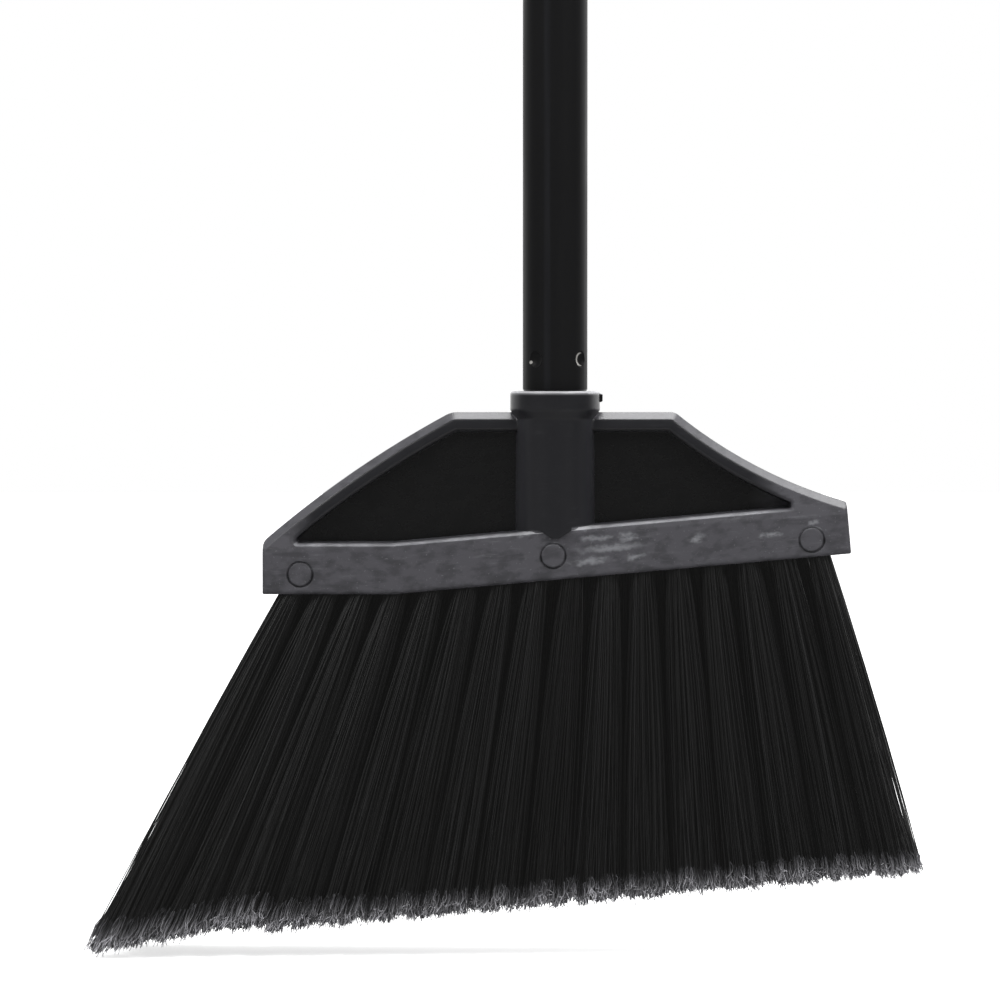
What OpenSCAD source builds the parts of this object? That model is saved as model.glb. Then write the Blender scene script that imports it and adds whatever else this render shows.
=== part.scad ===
// Angle-cut lobby broom: a moulded head block with three rows of bristle tufts and a screw-in tube handle.
// Millimetres. Z is the handle's axis, the front of the broom faces -Y, and Z = 0 is the lower
// edge of the handle's film, just above the mouth of the socket.

/* [Handle] */
// Outside diameter of the steel tube
tube_d = 21.9; // [19:0.1:25]
// Wall of the steel tube
tube_wall = 0.8; // [0.6:0.1:1.2]
// Length of the steel tube
tube_len = 710; // [400:10:1200]
// Thickness of the film wrapped round the tube
film_t = 0.25; // [0.15:0.05:0.5]
// Bare tube between the film's lower edge and the socket's mouth
film_gap = 0.5; // [0.3:0.1:2]

/* [Crimp] */
// Dents pressed into the tube round the tip
crimp_count = 4; // [2:1:6]
// Diameter of a dent at the tube's surface
crimp_d = 6; // [4:0.5:8]
// Depth of a dent
crimp_depth = 1.2; // [0.6:0.1:1.4]
// Height of the dents above the film's lower edge
crimp_z = 10.5; // [8:0.5:14]
// Turn of the ring of dents, away from the front
crimp_turn = 7; // [0:1:45]

/* [Threaded tip] */
// Diameter of the thread
thread_d = 19; // [16:0.1:19]
// Length of the thread below its shoulder
thread_len = 26; // [20:1:32]
// Thickness of the shoulder under the tube's end
tip_shoulder = 2; // [1:0.5:3]
// Length of the shank inside the tube
tip_shank_len = 30; // [28:1:45]
// Slope-off at the thread's nose
tip_nose = 2.5; // [1:0.5:3]
// Diameter of the core hole down the shank
tip_core_d = 11; // [6:0.5:12]

/* [Hang cap] */
// Height of the cap above the tube's end
cap_h = 24; // [20:1:34]
// Height of the cap's full round foot
cap_foot = 4; // [3:0.5:5]
// Step from the cap's foot in to its eye
cap_step = 0.6; // [0.4:0.1:2]
// Thickness of the flattened eye
cap_eye_t = 8; // [6:0.5:10]
// Diameter of the hole that it hangs by
cap_hole_d = 10; // [7:0.5:11]
// Length of the plug inside the tube
cap_plug_len = 20; // [12:1:40]
// Wall of the plug
cap_plug_wall = 2; // [1.5:0.1:3]

/* [Socket] */
// How far the tube sits in the socket
tube_seat = 10; // [6:0.5:14]
// Wall of the boss round the tube's seat
boss_wall = 2.4; // [2:0.1:4]
// How much wider the boss is at the bar
boss_growth = 0.2; // [0:0.1:1]
// How far the collar stands out from the boss
collar_lip = 1.9; // [1:0.1:3]
// Height of the collar's straight side
collar_h = 6.6; // [5:0.1:9]
// Height of the slope from the collar to the boss
collar_slope_h = 3; // [2:0.1:9]
// Rounding of the collar's top edge
collar_edge_r = 1; // [0.5:0.1:1.5]
// Height of the boss's point, from the bar's top down its faces
point_h = 3.1; // [2:0.1:5]
// Half the width of the point's blunt end
point_end = 1.2; // [0.5:0.1:2]

/* [Block] */
// Distance from the handle's axis to the block's left end
left_half = 101; // [90:1:120]
// Distance from the handle's axis to the block's right end
right_half = 102; // [90:1:120]
// Depth of the block, front to back
block_depth = 25; // [24:0.5:32]
// Rounding of the edges of its front and back faces
edge_r = 1.4; // [0.8:0.1:1.6]
// Drop from the socket's mouth to the bar's underside at the left end
bar_drop = 70; // [66:1:90]
// Height of the bar
bar_h = 17.4; // [15:0.1:19]
// Angle of the bar right of its bend
bar_angle = 5.1; // [3:0.1:6]
// Distance from the handle's axis to the bend, on the left
bar_bend = 55.5; // [40:0.5:70]
// Height of the left end face
left_end_h = 18; // [17:0.5:22]
// Height of the right end face
right_end_h = 17.8; // [17:0.1:20]

/* [Rim and web] */
// Drop from the socket's mouth to the rim's flat top
rim_drop = 7.3; // [6:0.1:12]
// Left end of the flat top, from the handle's axis
left_shoulder = 36; // [26:0.5:50]
// Right end of the flat top, from the handle's axis
right_shoulder = 41.5; // [30:0.5:50]
// Outward bow of the left slope
left_bow = 2.2; // [0.5:0.1:4]
// Inward sag of the right slope
right_sag = 3.4; // [0.5:0.1:4]
// Depth of the rim's flat top, front to back
top_depth = 8; // [7.5:0.5:14]
// Drop from the tops of the ends to the fold above which the faces lean back
fold_drop = 4.2; // [4:0.1:6]
// Height of the sloped band along the rim's top edges
band_h = 2.5; // [1.5:0.1:3]
// Depth of that band, front to back
band_depth = 3; // [2:0.1:3.2]
// Width of the rim's face under the band
rim_t = 2.9; // [2:0.1:5]
// Distance from the block's left end to the recess
recess_left_gap = 11.5; // [9:0.5:30]
// Distance from the block's right end to the recess
recess_right_gap = 20.5; // [11:0.5:35]
// Thickness of the web
web_t = 3; // [2:0.1:6]
// Slope-in of the recess walls, from the front face to the web
recess_draft = 0.6; // [0.3:0.1:1]
// Chamfer of the recess's edges
recess_edge = 0.9; // [0.4:0.1:1.5]

/* [Ejector marks] */
// Diameter of a mark
mark_d = 9.2; // [6:0.1:10]
// Width of the ring round a mark
mark_ring = 0.6; // [0.3:0.1:1]
// Depth of the ring
mark_depth = 0.5; // [0.2:0.1:1]
// Distance from the block's left end to the left mark
left_mark_gap = 13; // [9:0.1:30]
// Distance from the block's right end to the right mark
right_mark_gap = 13.7; // [9:0.1:30]
// Distance of the middle mark to the left of the handle's axis
middle_mark_shift = 0.8; // [0:0.1:3]
// Height of the left mark above the bar's underside
left_mark_rise = 6.9; // [6:0.1:9]
// Height of the middle mark above the bar's underside
middle_mark_rise = 8.4; // [7:0.1:9]
// Height of the right mark above the bar's underside
right_mark_rise = 6; // [6:0.1:9]

/* [Tufts] */
// Tufts in the front row and in the back row
outer_tufts = 16; // [10:1:16]
// Distance from the block's left end to the first tuft
left_tuft_gap = 9.6; // [9:0.1:20]
// Distance from the block's right end to the last tuft
right_tuft_gap = 11; // [9:0.1:20]
// Distance between rows
row_pitch = 7.2; // [6.8:0.1:7.4]
// Diameter of a tuft hole
hole_d = 7; // [6:0.1:7.2]
// Depth of a tuft hole
hole_depth = 10; // [8:0.5:11]
// Width of an anchor wire, along the hole
anchor_w = 2; // [1:0.1:2.5]
// Thickness of an anchor wire
anchor_t = 0.5; // [0.3:0.05:0.6]
// How far each end of an anchor bites into the block
anchor_bite = 0.8; // [0.4:0.1:1.2]

/* [Bristles] */
// Lean of the first tuft to the left
fan_left_angle = 26; // [15:0.5:30]
// Lean of the last tuft to the right
fan_right_angle = 14; // [8:0.5:20]
// Lean of the outer rows to the front and back
row_lean_angle = 3.5; // [1:0.5:5]
// Spread of a tuft's outermost strand from the tuft's axis
tuft_flare = 2.4; // [1:0.1:2.8]
// Drop from the socket's mouth to the trimmed tips, on the handle's axis
trim_drop = 178; // [140:1:230]
// Angle of the trim
trim_angle = 5.8; // [3:0.1:9]
// Strands in one tuft
tuft_strands = 10; // [6:2:10]
// Length of the folded root at the bottom of the hole
fold_len = 3; // [2:0.5:4]

/* [Hidden] */
// Smoothness of the round shapes
$fn = 64;
// Clearance of a piece that turns or slides in another
run_fit = 0.05;
// Clearance of the tube in its seat, and of a fold in its hole
seat_fit = 0.3;
fold_fit = 0.1;
// Clearance past the crimp's dents and under the thread's nose
crimp_room = 0.4;
nose_room = 2;
// Overrun of all cuts
over = 1;
// Overrun of a tuft hole past the underside
mouth_over = 3;
// Corner radii of the block's outline
foot_r = 1;
end_r = 1;
right_shoulder_r = 4;
left_shoulder_r = 8;
left_end_r = 8;
// Smallest corner radius on the front face, and the radius of the recess corners
face_corner_r = 0.6;
recess_r = 1.6;
// Steps along each slope, round each corner and over the edge of a face
slope_steps = 12;
corner_steps = 4;
edge_steps = 3;
// Turn above which a recess corner is rounded
corner_turn = 20;
// Shortest side of the recess beside a corner
shortest_side = 2;
// Most of a side that the rounding of its corner may take
side_share = 0.45;
// How far behind the bar's face the boss's point is cut
point_bite = 0.4;
// Share of the thread's height in its relief under the shoulder
relief_share = 0.1;
// Depth of that relief
relief_depth = 1.2;
// Share of a wedge of the fold that its strand grows from, and the strand's growth to its tip
root_share = 0.45;
tip_growth_share = 1.3;

tube_r = tube_d / 2;
bore_r = tube_r - tube_wall;
film_r = tube_r + film_t;
mouth_z = -film_gap;
tube_z = mouth_z - tube_seat;
tube_top = tube_z + tube_len;
seat_r = tube_r + seat_fit;
seat_z = tube_z - tip_shoulder;
boss_r = seat_r + boss_wall;
boss_foot_r = boss_r + boss_growth;
collar_r = boss_r + collar_lip;
shank_r = bore_r - run_fit;
thread_r = thread_d / 2;
socket_r = thread_r + run_fit;
half_depth = block_depth / 2;
first_tuft = left_half - left_tuft_gap;
last_tuft = right_half - right_tuft_gap;

// Sphere that presses a dent, and where its centre stands
dent_r = (pow(crimp_d / 2, 2) + pow(crimp_depth, 2)) / (2 * crimp_depth);
dent_x = tube_r + dent_r - crimp_depth;

// Underside and top of the bar at a distance x from the handle's axis
function bar_under(x) = mouth_z - bar_drop + max(0, x + bar_bend) * tan(bar_angle);
function bar_top(x) = bar_under(x) + bar_h;

// Plane geometry of outlines, which run anticlockwise
function unit(v) = v / norm(v);
function turned(v, a) = [v.x * cos(a) - v.y * sin(a), v.x * sin(a) + v.y * cos(a)];
function right_of(v) = [v.y, -v.x];
function left_of(v) = [-v.y, v.x];
function wrap(points, i) = points[(i + len(points)) % len(points)];

// Arc from p to q, bowed outwards by bow, or inwards where bow is negative
function arc(p, q, bow) =
    let (
        chord = q - p,
        r = (pow(norm(chord) / 2, 2) + bow * bow) / (2 * abs(bow)),
        out = unit(right_of(chord)),
        spoke = out * r * sign(bow),
        centre = (p + q) / 2 + out * bow - spoke,
        half = asin(norm(chord) / 2 / r) * sign(bow)
    )
    [for (i = [0 : slope_steps]) centre + turned(spoke, half * (2 * i / slope_steps - 1))];

// Round the corner b between its neighbours a and c
function rounded_corner(a, b, c, r) =
    let (
        u = unit(a - b),
        w = unit(c - b),
        inner = acos(u * w),
        bend = sign(cross(b - a, c - b)),
        back = min(r / tan(inner / 2), side_share * min(norm(a - b), norm(c - b))),
        centre = b + unit(u + w) * back / cos(inner / 2),
        spoke = b + u * back - centre
    )
    [for (i = [0 : corner_steps]) centre + turned(spoke, bend * (180 - inner) * i / corner_steps)];

// Outline with each corner rounded by its own radius, or left where that is zero
function softened(points, radii) = [
    for (i = [0 : len(points) - 1])
        each radii[i] > 0
            ? rounded_corner(wrap(points, i - 1), points[i], wrap(points, i + 1), radii[i])
            : [points[i]]
];

// Inward move of an outline's side i: plain for the first three and the last three, and d for the others
function side_in(points, i, d, plain) =
    let (count = len(points), k = (i + count) % count)
    k < 3 || k > count - 4 ? plain : d;

// Outline with its sides moved inwards so
function drawn_in(points, d, plain) = [
    for (i = [0 : len(points) - 1])
        let (
            m = unit(left_of(points[i] - wrap(points, i - 1))),
            n = unit(left_of(wrap(points, i + 1) - points[i])),
            before = side_in(points, i - 1, d, plain),
            after = side_in(points, i, d, plain),
            c = m * n
        )
        points[i] + (before == after
            ? (m + n) * after / (1 + c)
            : (m * (before - c * after) + n * (after - c * before)) / (1 - c * c))
];

// Outline moved inwards by d on every side
function inset(points, d) = drawn_in(points, d, d);

// Part of an outline on the side of the line through p that n points to
function clipped(points, p, n) = [
    for (i = [0 : len(points) - 1])
        let (a = points[i], b = wrap(points, i + 1), from_a = (a - p) * n, from_b = (b - p) * n)
        each concat(
            from_a >= 0 ? [a] : [],
            from_a * from_b < 0 ? [a + (b - a) * from_a / (from_a - from_b)] : []
        )
];

// The same outline, started at its point nearest to p
function started_at(points, p) =
    let (
        gaps = [for (q = points) norm(q - p)],
        first = search(min(gaps), gaps)[0]
    )
    [for (i = [0 : len(points) - 1]) wrap(points, first + i)];

// How far an outline turns at its point i
function turn_at(points, i) =
    let (u = unit(points[i] - wrap(points, i - 1)), w = unit(wrap(points, i + 1) - points[i]))
    acos(min(1, u * w));

// Outline without the points of a slope that lie too near a corner
function thinned(points) = [
    for (i = [0 : len(points) - 1])
        let (gap = min(norm(points[i] - wrap(points, i - 1)), norm(points[i] - wrap(points, i + 1))))
        if (gap > shortest_side || turn_at(points, i) > corner_turn) points[i]
];

// Corners of the block's outline, seen from the front
bend_foot = [-bar_bend, bar_under(-bar_bend)];
right_foot = [right_half, bar_under(right_half)];
right_end = right_foot + right_end_h * [-sin(bar_angle), cos(bar_angle)];
right_top = [right_shoulder, mouth_z - rim_drop];
left_top = [-left_shoulder, mouth_z - rim_drop];
left_foot = [-left_half, bar_under(-left_half)];
left_end = left_foot + [0, left_end_h];

// Ends of the fold, and the height of a point above the fold
left_fold = left_end + fold_drop * unit(left_foot - left_end);
right_fold = right_end + fold_drop * unit(right_foot - right_end);
function above_fold(p) = (p - left_fold) * unit(left_of(right_fold - left_fold));

// Half the block's depth at a point: even below the fold and less above it, as the faces lean back
face_lean = (half_depth - top_depth / 2) / above_fold([0, mouth_z - rim_drop]);
function leaning(p) = half_depth - face_lean * above_fold(p);
function depth_at(p) = min(half_depth, leaning(p));

// Outline with sharp corners, started at the bend, and the radius of each of its points
slope_zeros = [for (i = [1 : slope_steps - 1]) 0];
block_points = concat(
    [bend_foot, right_foot, right_fold],
    arc(right_end, right_top, -right_sag), arc(left_top, left_end, left_bow),
    [left_fold, left_foot]
);
block_radii = concat(
    [0, foot_r, 0, end_r], slope_zeros,
    [right_shoulder_r, left_shoulder_r], slope_zeros,
    [left_end_r, 0, foot_r]
);

// Ring round the block at a depth behind its front face, side -1, or its back face, side 1.
// The band falls towards the face, and the ends and the underside are moved inwards by plain.
function body_ring(side, back, plain) =
    let (
        d = band_h * (1 - back / band_depth),
        radii = [for (r = block_radii) r > 0 ? max(face_corner_r, r - d) : 0]
    )
    [for (p = softened(drawn_in(block_points, d, plain), radii)) [p.x, side * (depth_at(p) - back), p.y]];

// Rings over the rounded edge of a face to the back of the band
function edge_rings(side) = concat(
    [
        for (k = [0 : edge_steps])
            let (turn = 90 * k / edge_steps)
            body_ring(side, edge_r * (1 - cos(turn)), edge_r * (1 - sin(turn)))
    ],
    [body_ring(side, band_depth, 0)]
);

// Outline of the recess behind its chamfered edge: inside the rim and above the bar
bend_top = [-bar_bend, bar_top(-bar_bend)];
inside_rim = inset(block_points, band_h + rim_t + recess_edge);
above_left = clipped(inside_rim, bend_top, [0, 1]);
above_bar = clipped(above_left, bend_top, [-sin(bar_angle), cos(bar_angle)]);
short_left = clipped(above_bar, [recess_left_gap - left_half, 0], [1, 0]);
short_both = clipped(short_left, [right_half - recess_right_gap, 0], [-1, 0]);
recess_points = started_at(thinned(short_both), bend_top);
recess_radii = [
    for (i = [0 : len(recess_points) - 1]) turn_at(recess_points, i) > corner_turn ? recess_r : 0
];
// The recess's outline, moved inwards by d
function recess_outline(d) = softened(inset(recess_points, d), recess_radii);

// Tufts: rows are front, middle and back
row_names = ["front", "middle", "back"];
rows = [0 : len(row_names) - 1];
tuft_pitch = (first_tuft + last_tuft) / (outer_tufts - 1);
function row_side(row) = row - 1;
function row_tufts(row) = outer_tufts - (row_side(row) == 0 ? 1 : 0);
function tuft_x(row, i) = -first_tuft + tuft_pitch * (i + (row_side(row) == 0 ? 1 / 2 : 0));
function tuft_mouth(row, i) = [tuft_x(row, i), row_side(row) * row_pitch, bar_under(tuft_x(row, i))];
function tuft_name(row, i) = str("tuft_", row_names[row], i < 9 ? "_0" : "_", i + 1);

// Lean of a tuft in the broom's plane, even along the bar, and its lean to the front or back
function fan_lean(row, i) =
    let (share = (tuft_x(row, i) + first_tuft) / (first_tuft + last_tuft))
    -fan_left_angle + (fan_left_angle + fan_right_angle) * share;
function side_lean(row) = row_side(row) * row_lean_angle;

// Axes of a tuft: across it, front to back, and along it to the tips
function tuft_across(row, i) = [cos(fan_lean(row, i)), 0, sin(fan_lean(row, i))];
function tuft_back(row, i) =
    let (a = fan_lean(row, i), b = side_lean(row))
    [-sin(b) * sin(a), cos(b), sin(b) * cos(a)];
function tuft_along(row, i) =
    let (a = fan_lean(row, i), b = side_lean(row))
    [cos(b) * sin(a), sin(b), -cos(b) * cos(a)];

// Plane that the tips are trimmed to
trim_normal = [-sin(trim_angle), 0, cos(trim_angle)];
trim_point = [0, 0, mouth_z - trim_drop];
function trimmed(p, along) = p + along * ((trim_point - p) * trim_normal) / (along * trim_normal);

fold_r = hole_d / 2 - fold_fit;
fold_z = hole_depth - fold_len;

// Points of a list in the opposite order
function reversed(list) = [for (i = [len(list) - 1 : -1 : 0]) list[i]];

// Solid through rings of as many points each, from front to back; each end is closed by the flat
// pieces that the lists of point numbers give
module loft(rings, pieces) {
    n = len(rings[0]);
    last = n * (len(rings) - 1);
    front = [for (q = pieces) for (i = [1 : len(q) - 2]) [q[0], q[i + 1], q[i]]];
    back = [for (q = pieces) for (i = [1 : len(q) - 2]) [last + q[0], last + q[i], last + q[i + 1]]];
    sides = [
        for (k = [0 : len(rings) - 2]) for (i = [0 : n - 1])
            let (a = k * n + i, b = k * n + (i + 1) % n)
            each [[a, b, a + n], [b, b + n, a + n]]
    ];
    polyhedron([for (ring = rings) each ring], concat(front, back, sides));
}

// Bar, rim and web as one solid, before the recesses
module body() {
    rings = concat(edge_rings(-1), reversed(edge_rings(1)));
    n = len(rings[0]);
    right = corner_steps + 2;
    left = n - corner_steps - 2;
    below = concat([for (i = [0 : right]) i], [for (i = [left : n - 1]) i]);
    above = concat([left], [for (i = [right : left - 1]) i]);
    loft(rings, [below, above]);
}

// Rings of the recess on one side of the web: past the face at the slope of its chamfered edge, behind
// that edge, and on the web
function recess_rings(side) = [
    [for (p = recess_outline(-recess_edge - over)) [p.x, side * (leaning(p) + over), p.y]],
    [for (p = recess_outline(0)) [p.x, side * (leaning(p) - recess_edge), p.y]],
    [for (p = recess_outline(recess_draft)) [p.x, side * web_t / 2, p.y]],
];

// Recesses in front of and behind the web
module recesses() {
    whole = [[for (i = [0 : len(recess_outline(0)) - 1]) i]];
    loft(recess_rings(-1), whole);
    loft(reversed(recess_rings(1)), whole);
}

// What is cut from the boss in front of the bar's face, to leave a blunt point there
module point_cut() {
    top = bar_top(0);
    low = top - 2 * point_h;
    wide = boss_foot_r + over;
    half = sqrt(pow(boss_foot_r, 2) - pow(half_depth, 2));
    translate([0, point_bite - half_depth, 0])
        rotate([90, 0, 0])
            linear_extrude(height = boss_foot_r)
                polygon([
                    [-wide, low], [wide, low], [wide, top], [half, top],
                    [point_end, top - point_h], [-point_end, top - point_h], [-half, top], [-wide, top],
                ]);
}

// Collar and boss of the socket, down into the bar
module boss() {
    foot_z = bar_top(0) - point_h - over;
    difference() {
        rotate_extrude() {
            difference() {
                polygon([
                    [0, mouth_z],
                    [collar_r, mouth_z],
                    [collar_r, mouth_z - collar_h],
                    [boss_r, mouth_z - collar_h - collar_slope_h],
                    [boss_foot_r, foot_z],
                    [0, foot_z],
                ]);
                translate([collar_r - collar_edge_r, mouth_z - collar_edge_r])
                    difference() {
                        square(collar_edge_r + over);
                        circle(collar_edge_r);
                    }
            }
        }
        point_cut();
        rotate(180)
            point_cut();
    }
}

// Seat for the tube's end and the tip's shoulder, and the hole for the thread below it
module socket() {
    translate([0, 0, seat_z])
        cylinder(r = seat_r, h = mouth_z - seat_z + over);
    translate([0, 0, seat_z - thread_len - nose_room])
        cylinder(r = socket_r, h = thread_len + nose_room + over);
}

// Ring left in the front face by an ejector pin
module ejector_mark(x, rise) {
    translate([x, -half_depth, bar_under(x) + rise])
        rotate([90, 0, 0])
            difference() {
                cylinder(d = mark_d, h = 2 * mark_depth, center = true);
                cylinder(d = mark_d - 2 * mark_ring, h = 2 * mark_depth + over, center = true);
            }
}

// Children stood on the mouth of a tuft hole, with Z up into the block
module at_tuft(row, i) {
    translate(tuft_mouth(row, i))
        rotate([side_lean(row), -fan_lean(row, i), 0])
            children();
}

module every_tuft() {
    for (row = rows)
        for (i = [0 : row_tufts(row) - 1])
            at_tuft(row, i)
                children();
}

module tuft_hole() {
    translate([0, 0, -mouth_over])
        cylinder(d = hole_d, h = hole_depth + mouth_over);
}

module anchor() {
    length = hole_d + 2 * anchor_bite;
    translate([-length / 2, -anchor_t / 2, fold_z - anchor_w])
        cube([length, anchor_t, anchor_w]);
}

// Moulded head: bar, rim, web and socket in one piece
module block() {
    color("#3a3d42")
        difference() {
            union() {
                difference() {
                    body();
                    recesses();
                }
                boss();
            }
            socket();
            every_tuft() {
                tuft_hole();
                anchor();
            }
            ejector_mark(left_mark_gap - left_half, left_mark_rise);
            ejector_mark(-middle_mark_shift, middle_mark_rise);
            ejector_mark(right_half - right_mark_gap, right_mark_rise);
        }
}

// Flat wires across the holes, each under its tuft's fold
module tuft_anchors() {
    color("#b9bcc0")
        every_tuft()
            anchor();
}

// Fold of a tuft with its strands, each grown from one wedge of the fold's lower face
module tuft(row, i) {
    n = tuft_strands;
    across = tuft_across(row, i);
    back = tuft_back(row, i);
    along = tuft_along(row, i);
    top = tuft_mouth(row, i) - along * hole_depth;
    centre = top + along * fold_len;
    spokes = [for (k = [0 : n - 1]) fold_r * (cos(360 * k / n) * across + sin(360 * k / n) * back)];
    wedges = [for (k = [0 : n - 1]) [centre, centre + spokes[k], centre + wrap(spokes, k + 1)]];
    middles = [for (w = wedges) (w[0] + w[1] + w[2]) / 3];
    roots = [for (k = [0 : n - 1]) for (p = wedges[k]) middles[k] + (p - middles[k]) * root_share];
    tips = [
        for (k = [0 : n - 1])
            let (lean = along + tan(tuft_flare) * (middles[k] - centre) / fold_r)
            for (p = wedges[k])
                trimmed(middles[k] + (p - middles[k]) * root_share * tip_growth_share, lean)
    ];
    points = concat(
        [for (s = spokes) top + s], [for (s = spokes) centre + s], [centre], roots, tips
    );
    root = 2 * n + 1;
    tip = root + 3 * n;
    lid = [for (k = [1 : n - 2]) [0, k + 1, k]];
    wall = [
        for (k = [0 : n - 1])
            let (next = (k + 1) % n)
            each [[k, next, n + k], [next, n + next, n + k]]
    ];
    strands = [
        for (k = [0 : n - 1])
            let (outer = [2 * n, n + k, n + (k + 1) % n])
            each [
                for (e = [0 : 2])
                    let (f = (e + 1) % 3, a = root + 3 * k + e, b = root + 3 * k + f)
                    each [
                        [outer[e], outer[f], a], [outer[f], b, a],
                        [a, b, a + 3 * n], [b, b + 3 * n, a + 3 * n],
                    ],
                [tip + 3 * k, tip + 3 * k + 1, tip + 3 * k + 2],
            ]
    ];
    color("#17181a")
        polyhedron(points, concat(lid, wall, strands));
}

// Ring of dents at the tube's lower end, each a ball of the given radius
module crimp_balls(r) {
    for (k = [0 : crimp_count - 1])
        rotate(crimp_turn + 360 * (k + 1 / 2) / crimp_count - 90)
            translate([dent_x, 0, crimp_z])
                sphere(r);
}

// Steel tube with its wall pressed in at the dents
module handle_tube() {
    color("#4b4d50")
        difference() {
            union() {
                translate([0, 0, tube_z])
                    difference() {
                        cylinder(r = tube_r, h = tube_len);
                        translate([0, 0, -over])
                            cylinder(r = bore_r, h = tube_len + 2 * over);
                    }
                intersection() {
                    crimp_balls(dent_r + tube_wall);
                    translate([0, 0, tube_z])
                        cylinder(r = tube_r, h = tube_len);
                }
            }
            crimp_balls(dent_r);
        }
}

// Film round the tube from just above the socket to the cap, pressed into the dents
module handle_film() {
    color("#202123")
        difference() {
            cylinder(r = film_r, h = tube_top);
            difference() {
                translate([0, 0, -over])
                    cylinder(r = tube_r, h = tube_top + 2 * over);
                crimp_balls(dent_r);
            }
            crimp_balls(dent_r - film_t);
        }
}

// Plug with a shoulder under the tube's end, a groove for the dents and the thread's full round
module threaded_tip() {
    groove = crimp_d / 2 + crimp_room;
    groove_r = tube_r - crimp_depth - tube_wall - crimp_room;
    shank_top = tube_z + tip_shank_len;
    thread_z = seat_z - thread_len;
    relief_z = seat_z - thread_len * relief_share;
    color("#c9c6bd")
        difference() {
            rotate_extrude()
                polygon([
                    [0, shank_top],
                    [shank_r, shank_top],
                    [shank_r, crimp_z + groove + relief_depth],
                    [groove_r, crimp_z + groove],
                    [groove_r, crimp_z - groove],
                    [shank_r, crimp_z - groove - relief_depth],
                    [shank_r, tube_z],
                    [tube_r, tube_z],
                    [tube_r, seat_z],
                    [thread_r - relief_depth, seat_z],
                    [thread_r - relief_depth, relief_z],
                    [thread_r, relief_z - relief_depth],
                    [thread_r, thread_z + tip_nose],
                    [thread_r - tip_nose, thread_z],
                    [0, thread_z],
                ]);
            translate([0, 0, tube_z])
                cylinder(d = tip_core_d, h = tip_shank_len + over);
        }
}

// Round foot on the tube's end, domed and flattened above it to an eye
module hang_cap() {
    plug_r = bore_r - run_fit;
    dome_r = film_r - cap_step;
    dome_z = tube_top + cap_h - dome_r;
    color("#232427")
        difference() {
            union() {
                translate([0, 0, tube_top])
                    cylinder(r = film_r, h = cap_foot);
                intersection() {
                    union() {
                        translate([0, 0, tube_top])
                            cylinder(r = dome_r, h = dome_z - tube_top);
                        translate([0, 0, dome_z])
                            sphere(dome_r);
                    }
                    translate([-dome_r - over, -cap_eye_t / 2, tube_top])
                        cube([2 * (dome_r + over), cap_eye_t, cap_h]);
                }
                translate([0, 0, tube_top - cap_plug_len])
                    cylinder(r = plug_r, h = cap_plug_len + cap_foot / 2);
            }
            translate([0, 0, tube_top - cap_plug_len - over])
                cylinder(r = plug_r - cap_plug_wall, h = cap_plug_len + over);
            translate([0, 0, dome_z])
                rotate([90, 0, 0])
                    cylinder(d = cap_hole_d, h = cap_eye_t + 2 * over, center = true);
        }
}

block();
tuft_anchors();
handle_tube();
handle_film();
threaded_tip();
hang_cap();
for (row = rows)
    for (i = [0 : row_tufts(row) - 1])
        tuft(row, i);
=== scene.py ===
"""Dressed model of an angle-cut lobby broom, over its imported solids.

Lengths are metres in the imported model's own frame: Z runs up the handle's axis, the front of the
broom faces -Y, and Z = 0 is the lower edge of the handle's film.
"""
import logging
import math
from dataclasses import dataclass, field
from enum import Enum

import bmesh
import bpy
from mathutils import Euler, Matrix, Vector


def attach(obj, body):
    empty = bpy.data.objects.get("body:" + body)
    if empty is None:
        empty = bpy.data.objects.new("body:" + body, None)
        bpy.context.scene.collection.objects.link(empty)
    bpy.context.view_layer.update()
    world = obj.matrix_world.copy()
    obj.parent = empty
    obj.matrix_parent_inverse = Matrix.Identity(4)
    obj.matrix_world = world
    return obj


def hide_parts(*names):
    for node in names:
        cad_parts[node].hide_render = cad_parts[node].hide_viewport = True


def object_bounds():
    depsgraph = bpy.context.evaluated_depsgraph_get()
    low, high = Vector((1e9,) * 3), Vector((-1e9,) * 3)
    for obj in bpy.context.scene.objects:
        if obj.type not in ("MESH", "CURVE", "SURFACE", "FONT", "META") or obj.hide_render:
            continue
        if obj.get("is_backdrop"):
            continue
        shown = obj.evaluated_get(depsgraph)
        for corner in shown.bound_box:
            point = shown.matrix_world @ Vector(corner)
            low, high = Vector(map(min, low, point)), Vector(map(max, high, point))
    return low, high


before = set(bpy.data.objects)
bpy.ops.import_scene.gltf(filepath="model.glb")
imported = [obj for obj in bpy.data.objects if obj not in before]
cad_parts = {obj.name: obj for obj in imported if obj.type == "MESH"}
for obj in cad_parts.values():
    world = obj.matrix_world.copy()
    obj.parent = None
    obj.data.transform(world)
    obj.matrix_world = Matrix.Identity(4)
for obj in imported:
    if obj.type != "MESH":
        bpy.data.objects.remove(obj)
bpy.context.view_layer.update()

MM = 0.001
LOG = logging.getLogger("broom")

Triple = tuple[float, float, float]
Colour = Triple
Socket = bpy.types.NodeSocket
Feed = Socket | float | int | str | tuple | bool


class Body(Enum):
    """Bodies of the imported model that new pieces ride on."""

    TIP = "tip"
    HEAD = "head"


class Slot(Enum):
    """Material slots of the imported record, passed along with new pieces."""

    BLOCK = "block_plastic"
    BRISTLE = "bristle"
    TIP = "tip_plastic"


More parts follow.
